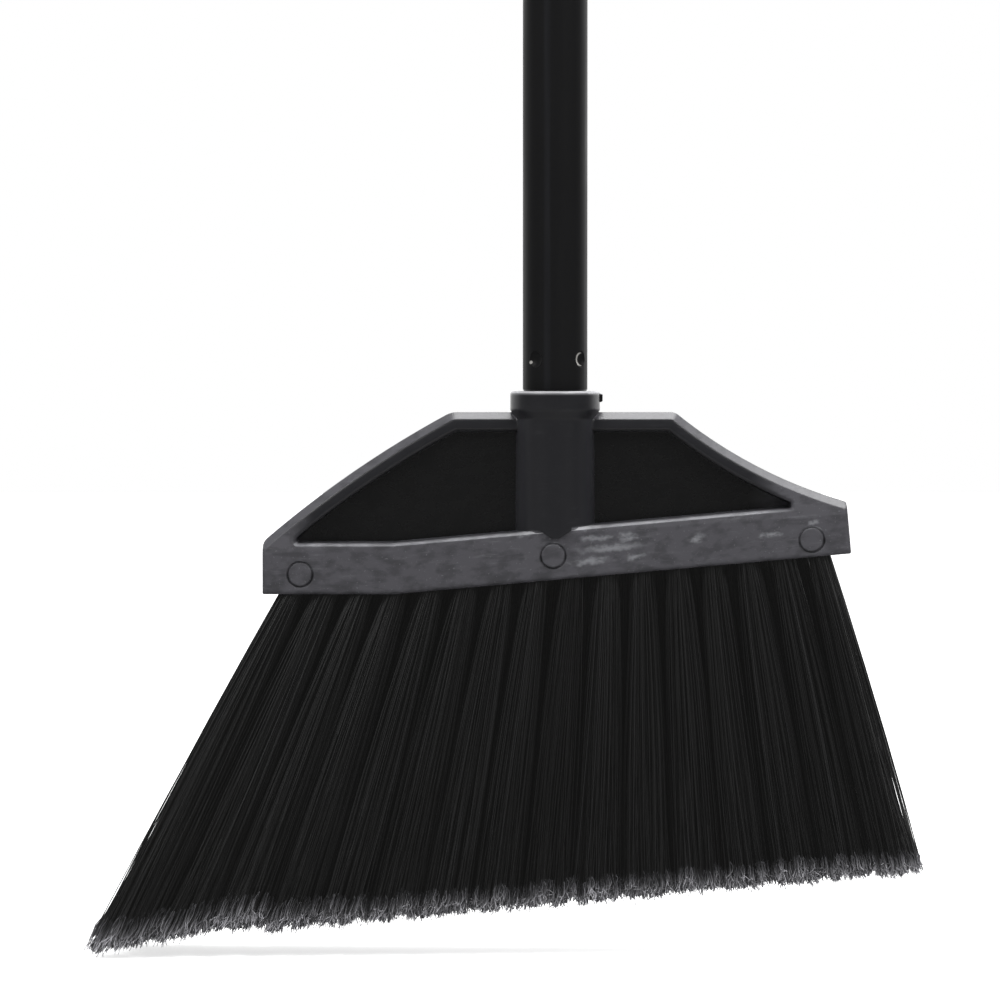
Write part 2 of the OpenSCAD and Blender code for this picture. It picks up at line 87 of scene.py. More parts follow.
class Row(Enum):
    """Rows of tufts from front to back: name, side, number of tufts and shift along the bar in pitches."""

    FRONT = ("front", -1, 16, 0.0)
    MIDDLE = ("middle", 0, 15, 0.5)
    BACK = ("back", 1, 16, 0.0)

    def __init__(self, label: str, side: int, tufts: int, shift: float) -> None:
        """Names the parts of the row's value.

        Args:
            label: Name of the row.
            side: Its side of the block: -1 in front, 0 in the middle and 1 behind.
            tufts: Number of its tufts.
            shift: Its shift along the bar, in pitches.
        """
        self.label = label
        self.side = side
        self.tufts = tufts
        self.shift = shift


class Lane(Enum):
    """Random choices of the bristle trees, each with a seed of its own."""

    TURN = 1
    REACH = 2
    STRAY_SIDE = 3
    STRAY_DEPTH = 4
    RAGGED = 5
    BOW = 6
    TONE = 7
    LOOSE = 8
    FRAY_X = 11
    FRAY_Y = 12
    FRAY_Z = 13
    HAIR_LENGTH = 14


class Mix(Enum):
    """What a mix blends: Blender's name, and the places of its inputs and its output."""

    VALUE = ("FLOAT", 2, 3, 0)
    VECTOR = ("VECTOR", 4, 5, 1)
    COLOUR = ("RGBA", 6, 7, 2)


@dataclass(frozen=True)
class Ease:
    """A smooth step: low up to the start, and high from the end on."""

    start: float
    end: float
    low: float = 0.0
    high: float = 1.0

    def moved(self, by: float) -> "Ease":
        """Gives the same step further on."""
        return Ease(self.start + by, self.end + by, self.low, self.high)


@dataclass(frozen=True)
class Waves:
    """A noise: its waves in a metre, alike or by axis, the number of its finer layers and their share."""

    scale: Feed
    layers: float = 2.0
    share: float = 0.5


@dataclass(frozen=True)
class Relief:
    """How a height shows in the surface: its strength, and its depth in metres."""

    strength: float
    depth: float


def grey(level: float) -> Colour:
    """Gives a neutral colour."""
    return (level, level, level)


class Canvas:
    """Adds nodes to one tree and links them."""

    NOISE_MIDDLE = grey(0.5)
    DRIFT_LAYERS = 2.0

    def __init__(self, tree: bpy.types.NodeTree) -> None:
        """Keeps the tree that the nodes go into."""
        self.tree = tree

    def node(
        self, kind: str, feeds: dict[str | int, Feed] | None = None, **settings: object
    ) -> bpy.types.Node:
        """Adds a node.

        Args:
            kind: Blender's name of the node's type.
            feeds: What each input gets, by the input's name or place.
            settings: Properties of the node.

        Returns:
            The new node.
        """
        node = self.tree.nodes.new(kind)
        for name, value in settings.items():
            setattr(node, name, value)
        for key, value in (feeds or {}).items():
            self.feed(node.inputs[key], value)
        return node

    def feed(self, socket: Socket, value: Feed) -> None:
        """Links an input to another node's output, or sets it to a constant.

        Args:
            socket: The input.
            value: The output to link, or the constant.
        """
        if isinstance(value, bpy.types.NodeSocket):
            self.tree.links.new(value, socket)
        elif socket.type == "RGBA":
            socket.default_value = (*value, 1.0)
        else:
            socket.default_value = value

    def math(self, operation: str, *values: Feed) -> Socket:
        """Adds a math node.

        Args:
            operation: Blender's name of the operation.
            values: Its operands.

        Returns:
            The result.
        """
        return self.node("ShaderNodeMath", dict(enumerate(values)), operation=operation).outputs[0]

    def times(self, first: Feed, *others: Feed) -> Feed:
        """Multiplies values.

        Args:
            first: The first value.
            others: What it is multiplied by, in turn.

        Returns:
            The product.
        """
        product = first
        for value in others:
            product = self.math("MULTIPLY", product, value)
        return product

    def most(self, first: Feed, *others: Feed) -> Feed:
        """Finds the largest value.

        Args:
            first: The first value.
            others: What it is compared with, in turn.

        Returns:
            The largest.
        """
        largest = first
        for value in others:
            largest = self.math("MAXIMUM", largest, value)
        return largest

    def less(self, a: Feed, b: Feed) -> Socket:
        """Gives a less b."""
        return self.math("SUBTRACT", a, b)

    def size(self, value: Feed) -> Socket:
        """Gives a value without its sign."""
        return self.math("ABSOLUTE", value)

    def span(self, a: Feed, b: Feed) -> Socket:
        """Gives the distance over two sides that stand square to each other."""
        return self.math("SQRT", self.math("ADD", self.times(a, a), self.times(b, b)))

    def parts(self, vector: Feed) -> bpy.types.NodeOutputs:
        """Splits a vector into its X, Y and Z."""
        return self.node("ShaderNodeSeparateXYZ", {0: vector}).outputs

    def vector(self, operation: str, *values: Feed) -> Socket:
        """Adds a vector math node.

        Args:
            operation: Blender's name of the operation.
            values: Its operands.

        Returns:
            The resulting vector.
        """
        return self.node("ShaderNodeVectorMath", dict(enumerate(values)), operation=operation).outputs[0]

    def scaled(self, vector: Feed, factor: Feed) -> Socket:
        """Gives a vector times a number."""
        return self.node("ShaderNodeVectorMath", {0: vector, 3: factor}, operation="SCALE").outputs[0]

    def dot(self, a: Feed, b: Feed) -> Socket:
        """Gives the dot product of two vectors."""
        return self.node("ShaderNodeVectorMath", {0: a, 1: b}, operation="DOT_PRODUCT").outputs[1]

    def mix(self, kind: Mix, share: Feed, a: Feed, b: Feed) -> Socket:
        """Blends a into b.

        Args:
            kind: What is blended.
            share: Share of b, from 0 to 1.
            a: Value at share 0.
            b: Value at share 1.

        Returns:
            The blend.
        """
        data_type, at_a, at_b, at_result = kind.value
        node = self.node("ShaderNodeMix", {0: share, at_a: a, at_b: b}, data_type=data_type)
        return node.outputs[at_result]

    def ease(self, value: Feed, step: Ease) -> Socket:
        """Maps a value by a smooth step.

        Args:
            value: The value.
            step: The step.

        Returns:
            The eased value.
        """
        feeds = {"Value": value, 1: step.start, 2: step.end, 3: step.low, 4: step.high}
        return self.node("ShaderNodeMapRange", feeds, interpolation_type="SMOOTHSTEP").outputs[0]

    def noise(self, vector: Feed, waves: Waves) -> Socket:
        """Adds a noise texture.

        Args:
            vector: Where it is read.
            waves: Its waves.

        Returns:
            A value about 0.5.
        """
        scale = waves.scale
        if isinstance(scale, tuple):
            vector = self.node("ShaderNodeMapping", {"Vector": vector, "Scale": scale}).outputs[0]
            scale = 1.0
        feeds = {"Vector": vector, "Scale": scale, "Detail": waves.layers, "Roughness": waves.share}
        return self.node("ShaderNodeTexNoise", feeds).outputs[0]

    def drift(self, vector: Feed, scale: Feed) -> Socket:
        """Gives a smooth field of vectors about zero, with so many waves in a metre."""
        feeds = {"Vector": vector, "Scale": scale, "Detail": self.DRIFT_LAYERS}
        return self.vector("SUBTRACT", self.node("ShaderNodeTexNoise", feeds).outputs[1], self.NOISE_MIDDLE)

    def relief(self, height: Feed, relief: Relief, base: Feed | None = None) -> Socket:
        """Shows a height in the surface.

        Args:
            height: The height.
            relief: How it shows.
            base: Normal of the surface under it, if that isn't the mesh's own.

        Returns:
            The normal.
        """
        feeds = {"Strength": relief.strength, "Distance": relief.depth, "Height": height}
        node = self.node("ShaderNodeBump", feeds)
        if base is not None:
            self.feed(node.inputs["Normal"], base)
        return node.outputs[0]


class EffectGroup:
    """A shader group that several finishes share: it gives values, and the shader stays in the material."""

    def __init__(self, name: str, inputs: dict[str, str], outputs: list[str]) -> None:
        """Starts the group.

        Args:
            name: Name of the group.
            inputs: Socket type of each input by name.
            outputs: Names of the values that it gives.
        """
        self.tree = bpy.data.node_groups.new(name, "ShaderNodeTree")
        for label, kind in inputs.items():
            self.tree.interface.new_socket(label, in_out="INPUT", socket_type=kind)
        for label in outputs:
            self.tree.interface.new_socket(label, in_out="OUTPUT", socket_type="NodeSocketFloat")
        self.canvas = Canvas(self.tree)
        self.source = self.canvas.node("NodeGroupInput").outputs
        self.sink = self.canvas.node("NodeGroupOutput").inputs

    def use(self, canvas: Canvas, **feeds: Feed) -> bpy.types.NodeOutputs:
        """Puts the group into a material.

        Args:
            canvas: The material's canvas.
            feeds: What each input gets.

        Returns:
            The group's outputs.
        """
        node = canvas.node("ShaderNodeGroup", node_tree=self.tree)
        for name, value in feeds.items():
            canvas.feed(node.inputs[name], value)
        return node.outputs


class MouldGrain(EffectGroup):
    """Fine spark-eroded grain with a soft unevenness under it."""

    FINE_LAYERS = 3.0
    LAYER_SHARE = 0.6
    COARSE_SCALE = 0.12
    COARSE_SHARE = 0.35

    def __init__(self) -> None:
        """Builds the group."""
        inputs = {"Place": "NodeSocketVector", "Fineness": "NodeSocketFloat"}
        super().__init__("mould_grain", inputs, ["Height"])
        c = self.canvas
        place = self.source["Place"]
        fineness = self.source["Fineness"]
        fine = c.noise(place, Waves(fineness, self.FINE_LAYERS, self.LAYER_SHARE))
        coarse = c.noise(place, Waves(c.times(fineness, self.COARSE_SCALE)))
        c.feed(self.sink["Height"], c.mix(Mix.VALUE, self.COARSE_SHARE, fine, coarse))


class Scuffs(EffectGroup):
    """Pale rubs along X, pale flecks where grit has hit, and clouds and streaks of uneven wear."""

    RUBS = Waves((90.0, 300.0, 700.0), 4.0, 0.65)
    RUBBED = Ease(0.56, 0.74)
    FLECKS = Waves(1500.0, 1.0)
    FLECKED = Ease(0.68, 0.78)
    CLOUDS = Waves((150.0, 150.0, 260.0), 4.0, 0.6)
    STREAKS = Waves((280.0, 280.0, 850.0), 4.0, 0.65)

    def __init__(self) -> None:
        """Builds the group."""
        outputs = ["Rubs", "Flecks", "Clouds", "Streaks"]
        super().__init__("scuffs", {"Place": "NodeSocketVector"}, outputs)
        c = self.canvas
        place = self.source["Place"]
        c.feed(self.sink["Rubs"], c.ease(c.noise(place, self.RUBS), self.RUBBED))
        c.feed(self.sink["Flecks"], c.ease(c.noise(place, self.FLECKS), self.FLECKED))
        c.feed(self.sink["Clouds"], c.noise(place, self.CLOUDS))
        c.feed(self.sink["Streaks"], c.noise(place, self.STREAKS))


class Dust(EffectGroup):
    """Dust that settles on faces that look up."""

    PATCHES = Waves(130.0, 4.0, 0.6)
    PATCHED = Ease(0.35, 0.7)
    UPWARD = Ease(0.45, 0.95)

    def __init__(self) -> None:
        """Builds the group."""
        super().__init__("dust", {"Place": "NodeSocketVector"}, ["Cover"])
        c = self.canvas
        upward = c.parts(c.node("ShaderNodeTexCoord").outputs["Normal"])["Z"]
        patches = c.ease(c.noise(self.source["Place"], self.PATCHES), self.PATCHED)
        c.feed(self.sink["Cover"], c.times(c.ease(upward, self.UPWARD), patches))


@dataclass
class Effects:
    """The shared shader groups."""

    grain: MouldGrain = field(default_factory=MouldGrain)
    scuffs: Scuffs = field(default_factory=Scuffs)
    dust: Dust = field(default_factory=Dust)


@dataclass(frozen=True)
class BarLine:
    """Underside of the bar: level on the left, and rising to the right of its bend."""

    level: float = -70.5 * MM
    bend: float = -55.5 * MM
    slope: float = math.tan(math.radians(5.1))
    height: float = 17.4 * MM

    def under(self, x: float) -> float:
        """Gives the height of the underside at x."""
        return self.level + max(0.0, x - self.bend) * self.slope


def new_material(name: str) -> tuple[bpy.types.Material, Canvas, bpy.types.NodeInputs]:
    """Starts a material with one Principled shader.

    Args:
        name: Name of the material.

    Returns:
        The material, its canvas and the shader's inputs.
    """
    material = bpy.data.materials.new(name)
    material.use_nodes = True
    canvas = Canvas(material.node_tree)
    return material, canvas, material.node_tree.nodes["Principled BSDF"].inputs


@dataclass(frozen=True)
class PaleSpot:
    """A pale spot on the bar: its place along the bar and above the underside, and its reach each way. The
    spots are rubs, and a painted highlight at the upper edge beside the boss.
    """

    x: float
    rise: float
    reach_x: float
    reach_rise: float


@dataclass(frozen=True)
class BlockPlace:
    """A place on the block, as the nodes of its material see it.

    The rise is its height above the bar's underside. It lies off the block's middle plane, and out from
    the handle's axis. Upward and sideways tell how far the surface looks that way, on_bar how far it is
    chalked by use, and proud how far it stands out of the web.
    """

    c: Canvas
    point: Socket
    x: Socket
    y: Socket
    z: Socket
    rise: Socket
    off_middle: Socket
    out: Socket
    upward: Socket
    sideways: Socket
    on_bar: Socket
    proud: Socket
    along_bar: Socket
    scuffs: bpy.types.NodeOutputs


@dataclass(frozen=True)
class BlockFinish:
    """Black moulded plastic: dark and smooth in the recesses, chalked grey by use on the bar's faces, with
    painted highlights on its upper edges, collar lip and ejector rings, painted shade on the rings, and
    painted fill light on the boss's flanks and under the rim.
    """

    bar: BarLine
    face: float = 12.5 * MM
    web_face: float = 1.5 * MM
    black: Colour = (0.003, 0.003, 0.0031)
    worn: Colour = (0.0118, 0.0118, 0.0142)
    chalk: Colour = (0.0672, 0.0655, 0.0752)
    # Pale colours of the painted highlight on the bar's upper edge, which also shows edge wear, and on the
    # collar's lip.
    edge: Colour = (0.29, 0.29, 0.31)
    lip_highlight: Colour = (0.5, 0.5, 0.52)
    # Painted fill light on the boss's flanks and on faces that look down from the rim.
    flank: Colour = (0.03, 0.03, 0.034)
    under_rim_fill: Colour = (0.024, 0.024, 0.026)
    pale: Colour = (0.2, 0.204, 0.218)
    dust: Colour = (0.085, 0.086, 0.093)
    dust_share: float = 0.5

    bar_top: Ease = Ease(0.6 * MM, -0.4 * MM)
    left_end: Ease = Ease(-83.0 * MM, -93.0 * MM)
    right_end: Ease = Ease(66.0 * MM, 83.0 * MM)
    looks_up: Ease = Ease(0.3, 0.5)
    past_face: Ease = Ease(0.05 * MM, 0.25 * MM)
    past_web: Ease = Ease(0.1 * MM, 0.8 * MM)
    front: Ease = Ease(2.0 * MM, -2.0 * MM)

    cloud_depth: Ease = Ease(0.34, 0.68, 0.58, 1.36)
    streak_depth: Ease = Ease(0.28, 0.72, 0.86, 1.14)
    low_depth: Ease = Ease(0.0, 9.0 * MM, 0.86, 1.0)
    right_depth: Ease = Ease(-60.0 * MM, 90.0 * MM, 0.95, 1.1)

    rub_shares: tuple[float, float] = (0.03, 0.22)
    fleck_shares: tuple[float, float] = (0.04, 0.4)
    web_pale_share: float = 0.1
    spot_streaks: Ease = Ease(0.27, 0.54, 0.1, 1.0)
    spot_fade: Ease = Ease(1.1, 0.1)
    ragged_waves: float = 330.0
    ragged_reach: Triple = (9.0 * MM, 0.0, 3.4 * MM)
    rubs_and_highlights: tuple[PaleSpot, ...] = (
        # The first two spots, at the bar's upper edge beside the boss, are a painted highlight; the rest are
        # rubs.
        PaleSpot(9.5 * MM, 17.4 * MM, 3.6 * MM, 1.7 * MM),
        PaleSpot(-10.5 * MM, 17.2 * MM, 2.6 * MM, 1.6 * MM),
        PaleSpot(25.0 * MM, 12.6 * MM, 4.2 * MM, 2.4 * MM),
        PaleSpot(14.0 * MM, 13.2 * MM, 7.0 * MM, 1.2 * MM),
        PaleSpot(19.5 * MM, 9.4 * MM, 14.0 * MM, 1.7 * MM),
        PaleSpot(12.0 * MM, 5.4 * MM, 8.0 * MM, 1.6 * MM),
        PaleSpot(28.0 * MM, 5.7 * MM, 4.0 * MM, 1.3 * MM),
        PaleSpot(48.6 * MM, 10.2 * MM, 3.0 * MM, 2.2 * MM),
        PaleSpot(74.0 * MM, 9.0 * MM, 5.0 * MM, 1.2 * MM),
        PaleSpot(89.0 * MM, 12.0 * MM, 2.2 * MM, 1.1 * MM),
    )

    mark_ring: float = 4.3 * MM
    marks: tuple[tuple[float, float], ...] = (
        (-88.0 * MM, 6.9 * MM), (-0.8 * MM, 8.4 * MM), (88.3 * MM, 6.0 * MM)
    )
    ring_fade: Ease = Ease(0.7 * MM, 0.3 * MM)
    # Painted highlight on the upper arc of each ejector mark and painted shade on its lower arc, as light
    # from above would fall on a raised disc.
    ring_top: Ease = Ease(2.2 * MM, 3.8 * MM)
    ring_foot: Ease = Ease(1.8 * MM, -1.2 * MM)
    ring_highlight_breakup: Ease = Ease(0.42, 0.62, 0.0, 0.65)
    ring_shade_breakup: Ease = Ease(0.62, 0.4, 0.25, 0.8)

    # Where the bar's upper edge gets its painted highlight and pale wear.
    edge_foot: Ease = Ease(15.8 * MM, 16.6 * MM)
    edge_top: Ease = Ease(19.5 * MM, 18.8 * MM)
    edge_outside: Ease = Ease(7.0 * MM, 9.0 * MM)
    edge_left: Ease = Ease(-93.0 * MM, -90.0 * MM)
    edge_right: Ease = Ease(83.0 * MM, 68.0 * MM)
    edge_upward: Ease = Ease(0.2, 0.6)
    edge_wear_and_highlight: Ease = Ease(0.3, 0.65, 0.5, 1.0)
    by_boss: Ease = Ease(22.0 * MM, 9.0 * MM)

    # Where the collar's lip gets its painted highlight.
    collar: Ease = Ease(14.2 * MM, 14.9 * MM)
    lip_upward: Ease = Ease(0.1, 0.5)
    lip_side: Ease = Ease(-2.3 * MM, -0.8 * MM, 0.0, 0.5)
    lip_foot: Ease = Ease(-2.3 * MM, -1.3 * MM)
    # Where the painted fill light falls: the boss's flanks, and faces that look down.
    flank_sideways: Ease = Ease(0.5, 0.95)
    flank_outside: Ease = Ease(14.6 * MM, 14.2 * MM)
    flank_inside: Ease = Ease(12.5 * MM, 13.0 * MM)
    downward: Ease = Ease(-0.15, -0.6)
    off_collar: Ease = Ease(15.0 * MM, 16.0 * MM, 0.3, 1.0)

    web_roughness: float = 0.2
    proud_roughness: float = 0.24
    bar_roughness: float = 0.55
    top_roughness: float = 0.24
    roughness_spread: float = 0.14

    fineness: float = 2600.0
    web_grain: float = 0.2
    grain_relief: Relief = Relief(0.22, 0.12 * MM)
    web_rounding: float = 0.1 * MM
    rim_rounding: float = 1.4 * MM
    bar_rounding: float = 0.9 * MM
    rounding_samples: int = 8

    bore: Ease = Ease(9.9 * MM, 9.7 * MM)
    thread_pitch: float = 5.08 * MM
    thread_flank: Ease = Ease(0.15, 0.35)
    thread_relief: Relief = Relief(1.0, 1.0 * MM)

    def chalking(self, c: Canvas, x: Socket, rise: Socket, off_middle: Socket, upward: Socket) -> Feed:
        """Finds what use has chalked: the bar's faces beside the boss, both ends and what looks up.

        Args:
            c: The material's canvas.
            x: Place along the bar.
            rise: Height above the bar's underside.
            off_middle: Distance from the block's middle plane.
            upward: How far the surface looks up.

        Returns:
            How far a place is chalked.
        """
        on_bar = c.ease(rise, self.bar_top.moved(self.bar.height))
        at_ends = c.most(c.ease(x, self.left_end), c.ease(x, self.right_end))
        spread = c.most(on_bar, at_ends, c.ease(upward, self.looks_up))
        on_boss = c.ease(off_middle, self.past_face.moved(self.face))
        return c.times(spread, c.less(1.0, on_boss))

    def locate(self, c: Canvas, effects: Effects) -> BlockPlace:
        """Reads where a place on the block is.

        Args:
            c: The material's canvas.
            effects: The shared shader groups.

        Returns:
            The place.
        """
        coordinates = c.node("ShaderNodeTexCoord").outputs
        x, y, z = c.parts(coordinates["Object"])
        facing_x, _, upward = c.parts(coordinates["Normal"])
        past_bend = c.most(c.less(x, self.bar.bend), 0.0)
        rise = c.less(z, c.math("MULTIPLY_ADD", past_bend, self.bar.slope, self.bar.level))
        off_middle = c.size(y)
        along_bar = c.node("ShaderNodeCombineXYZ", {0: x, 1: y, 2: rise}).outputs[0]
        return BlockPlace(
            c=c,
            point=coordinates["Object"],
            x=x,
            y=y,
            z=z,
            rise=rise,
            off_middle=off_middle,
            out=c.span(x, y),
            upward=upward,
            sideways=c.size(facing_x),
            on_bar=self.chalking(c, x, rise, off_middle, upward),
            proud=c.ease(off_middle, self.past_web.moved(self.web_face)),
            along_bar=along_bar,
            scuffs=effects.scuffs.use(c, Place=along_bar),
        )

    def pale_marks(self, at: BlockPlace) -> Feed:
        """Gathers the pale spots, rubs and the painted highlight beside the boss, with ragged outlines.

        Args:
            at: The place.

        Returns:
            How far it is rubbed.
        """
        c = at.c
        ragged = c.vector("MULTIPLY", c.drift(at.along_bar, self.ragged_waves), self.ragged_reach)
        x, _, rise = c.parts(c.vector("ADD", at.along_bar, ragged))
        pale_marks = []
        for spot in self.rubs_and_highlights:
            across = c.math("DIVIDE", c.less(x, spot.x), spot.reach_x)
            up = c.math("DIVIDE", c.less(rise, spot.rise), spot.reach_rise)
            pale_marks.append(c.ease(c.span(across, up), self.spot_fade))
        return c.most(*pale_marks)

    def marked(self, at: BlockPlace) -> tuple[Feed, Feed]:
        """Finds the rings of the ejector marks, for their painted highlight and painted shade.

        Args:
            at: The place.

        Returns:
            How far it is in a ring's upper edge, which gets a painted highlight, and in its lower edge,
            which gets painted shade.
        """
        c = at.c
        pale_marks = []
        shade_arcs = []
        for mark_x, mark_rise in self.marks:
            up = c.less(at.rise, mark_rise)
            reach = c.span(c.less(at.x, mark_x), up)
            ring = c.ease(c.size(c.less(reach, self.mark_ring)), self.ring_fade)
            pale_marks.append(c.times(ring, c.ease(up, self.ring_top)))
            shade_arcs.append(c.times(ring, c.ease(up, self.ring_foot)))
        return c.most(*pale_marks), c.most(*shade_arcs)

    def chalked(self, at: BlockPlace) -> Socket:
        """Colours the plain plastic: black in the web, worn where it stands out, chalked on the bar.

        Args:
            at: The place.

        Returns:
            Its colour.
        """
        c = at.c
        depth = c.times(
            c.ease(at.scuffs["Clouds"], self.cloud_depth),
            c.ease(at.scuffs["Streaks"], self.streak_depth),
            c.ease(at.rise, self.low_depth),
            c.ease(at.x, self.right_depth),
        )
        colour = c.mix(Mix.COLOUR, at.proud, self.black, self.worn)
        return c.mix(Mix.COLOUR, c.times(at.on_bar, depth), colour, self.chalk)

    def scuffed(self, at: BlockPlace, colour: Socket) -> Socket:
        """Adds rubs, flecks and pale spots, some of them a painted highlight, and on the front the rings'
        painted highlight and painted shade.

        Args:
            at: The place.
            colour: Its colour so far.

        Returns:
            Its colour.
        """
        c = at.c
        clouds = at.scuffs["Clouds"]
        rubs = c.times(at.scuffs["Rubs"], c.mix(Mix.VALUE, at.on_bar, *self.rub_shares))
        flecks = c.times(at.scuffs["Flecks"], c.mix(Mix.VALUE, at.on_bar, *self.fleck_shares))
        rubs_and_highlights = c.times(self.pale_marks(at), c.ease(at.scuffs["Streaks"], self.spot_streaks))
        on_front = c.times(at.on_bar, c.ease(at.y, self.front))
        # Painted highlight on the rings' upper arcs in the pale colour, painted shade on their lower arcs in
        # the worn colour.
        ring_highlight, ring_shade = self.marked(at)
        ring_highlight = c.times(ring_highlight, c.ease(clouds, self.ring_highlight_breakup))
        ring_shade = c.times(ring_shade, c.ease(clouds, self.ring_shade_breakup))
        colour = c.mix(Mix.COLOUR, c.times(ring_shade, on_front), colour, self.worn)
        pale = c.most(c.times(c.most(rubs_and_highlights, ring_highlight), on_front), rubs, flecks)
        pale = c.times(pale, c.mix(Mix.VALUE, at.proud, self.web_pale_share, 1.0))
        return c.mix(Mix.COLOUR, pale, colour, self.pale)

    def edged(self, at: BlockPlace, colour: Socket) -> Socket:
        """Paints a highlight, with pale wear, on the bar's upper edge, most of all beside the boss, and a
        highlight on the collar's lip.

        Args:
            at: The place.
            colour: Its colour so far.

        Returns:
            Its colour.
        """
        c = at.c
        edge = c.times(
            c.ease(at.rise, self.edge_foot),
            c.ease(at.rise, self.edge_top),
            c.ease(at.upward, self.edge_upward),
            c.ease(at.off_middle, self.edge_outside),
            c.ease(at.x, self.edge_left),
            c.ease(at.x, self.edge_right),
            c.ease(at.scuffs["Clouds"], self.edge_wear_and_highlight),
        )
        bright = c.mix(Mix.COLOUR, c.ease(c.size(at.x), self.by_boss), self.edge, self.lip_highlight)
        colour = c.mix(Mix.COLOUR, edge, colour, bright)
        # Painted highlight on the collar's lip.
        lip_highlight = c.most(c.ease(at.upward, self.lip_upward), c.ease(at.z, self.lip_side))
        lip_highlight = c.times(c.ease(at.out, self.collar), lip_highlight, c.ease(at.z, self.lip_foot))
        return c.mix(Mix.COLOUR, lip_highlight, colour, self.lip_highlight)

    def fill_lit(self, at: BlockPlace, colour: Socket) -> Socket:
        """Paints fill light: lightens the boss's flanks and what looks down from the rim.

        Args:
            at: The place.
            colour: Its colour so far.

        Returns:
            Its colour.
        """
        c = at.c
        flank = c.times(
            c.ease(at.sideways, self.flank_sideways),
            c.ease(at.out, self.flank_outside),
            c.ease(at.out, self.flank_inside),
        )
        colour = c.mix(Mix.COLOUR, flank, colour, self.flank)
        # Painted fill light on faces that look down, fainter by the collar.
        under = c.times(
            c.ease(at.upward, self.downward),
            c.less(1.0, at.on_bar),
            c.ease(c.size(at.x), self.off_collar),
        )
        return c.mix(Mix.COLOUR, under, colour, self.under_rim_fill)

    def roughness(self, at: BlockPlace) -> Socket:
        """Finds how rough a place is.

        Args:
            at: The place.

        Returns:
            Its roughness.
        """
        c = at.c
        off_bar = c.mix(Mix.VALUE, at.proud, self.web_roughness, self.proud_roughness)
        dull = c.mix(Mix.VALUE, at.on_bar, off_bar, self.bar_roughness)
        dull = c.mix(Mix.VALUE, c.ease(at.upward, self.looks_up), dull, self.top_roughness)
        return c.math("MULTIPLY_ADD", at.scuffs["Clouds"], self.roughness_spread, dull)

    def socket_thread(self, at: BlockPlace) -> Feed:
        """Winds the thread round the inside of the socket.

        Args:
            at: The place.

        Returns:
            Height of the thread, zero outside the socket.
        """
        c = at.c
        turn = c.math("DIVIDE", c.math("ARCTAN2", at.y, at.x), math.tau)
        wave = c.math("PINGPONG", c.less(c.math("DIVIDE", at.z, self.thread_pitch), turn), 0.5)
        return c.times(c.ease(at.out, self.bore), c.ease(wave, self.thread_flank))

    def surface(self, at: BlockPlace, effects: Effects) -> Socket:
        """Softens the edges and adds the grain and the socket's thread.

        Args:
            at: The place.
            effects: The shared shader groups.

        Returns:
            The normal.
        """
        c = at.c
        grain = effects.grain.use(c, Place=at.point, Fineness=self.fineness)["Height"]
        grain = c.times(grain, c.mix(Mix.VALUE, at.proud, self.web_grain, 1.0))
        rounding = c.mix(Mix.VALUE, at.on_bar, self.rim_rounding, self.bar_rounding)
        rounding = c.mix(Mix.VALUE, at.proud, self.web_rounding, rounding)
        soft = c.node("ShaderNodeBevel", {"Radius": rounding}, samples=self.rounding_samples).outputs[0]
        grained = c.relief(grain, self.grain_relief, soft)
        return c.relief(self.socket_thread(at), self.thread_relief, grained)

    def make(self, effects: Effects) -> bpy.types.Material:
        """Makes the material.

        Args:
            effects: The shared shader groups.

        Returns:
            The block's material.
        """
        material, c, shader = new_material("worn_block_plastic")
        at = self.locate(c, effects)
        colour = self.fill_lit(at, self.edged(at, self.scuffed(at, self.chalked(at))))
        dust = c.times(effects.dust.use(c, Place=at.point)["Cover"], self.dust_share)
        c.feed(shader["Base Color"], c.mix(Mix.COLOUR, dust, colour, self.dust))
        c.feed(shader["Roughness"], self.roughness(at))
        c.feed(shader["Normal"], self.surface(at, effects))
        return material


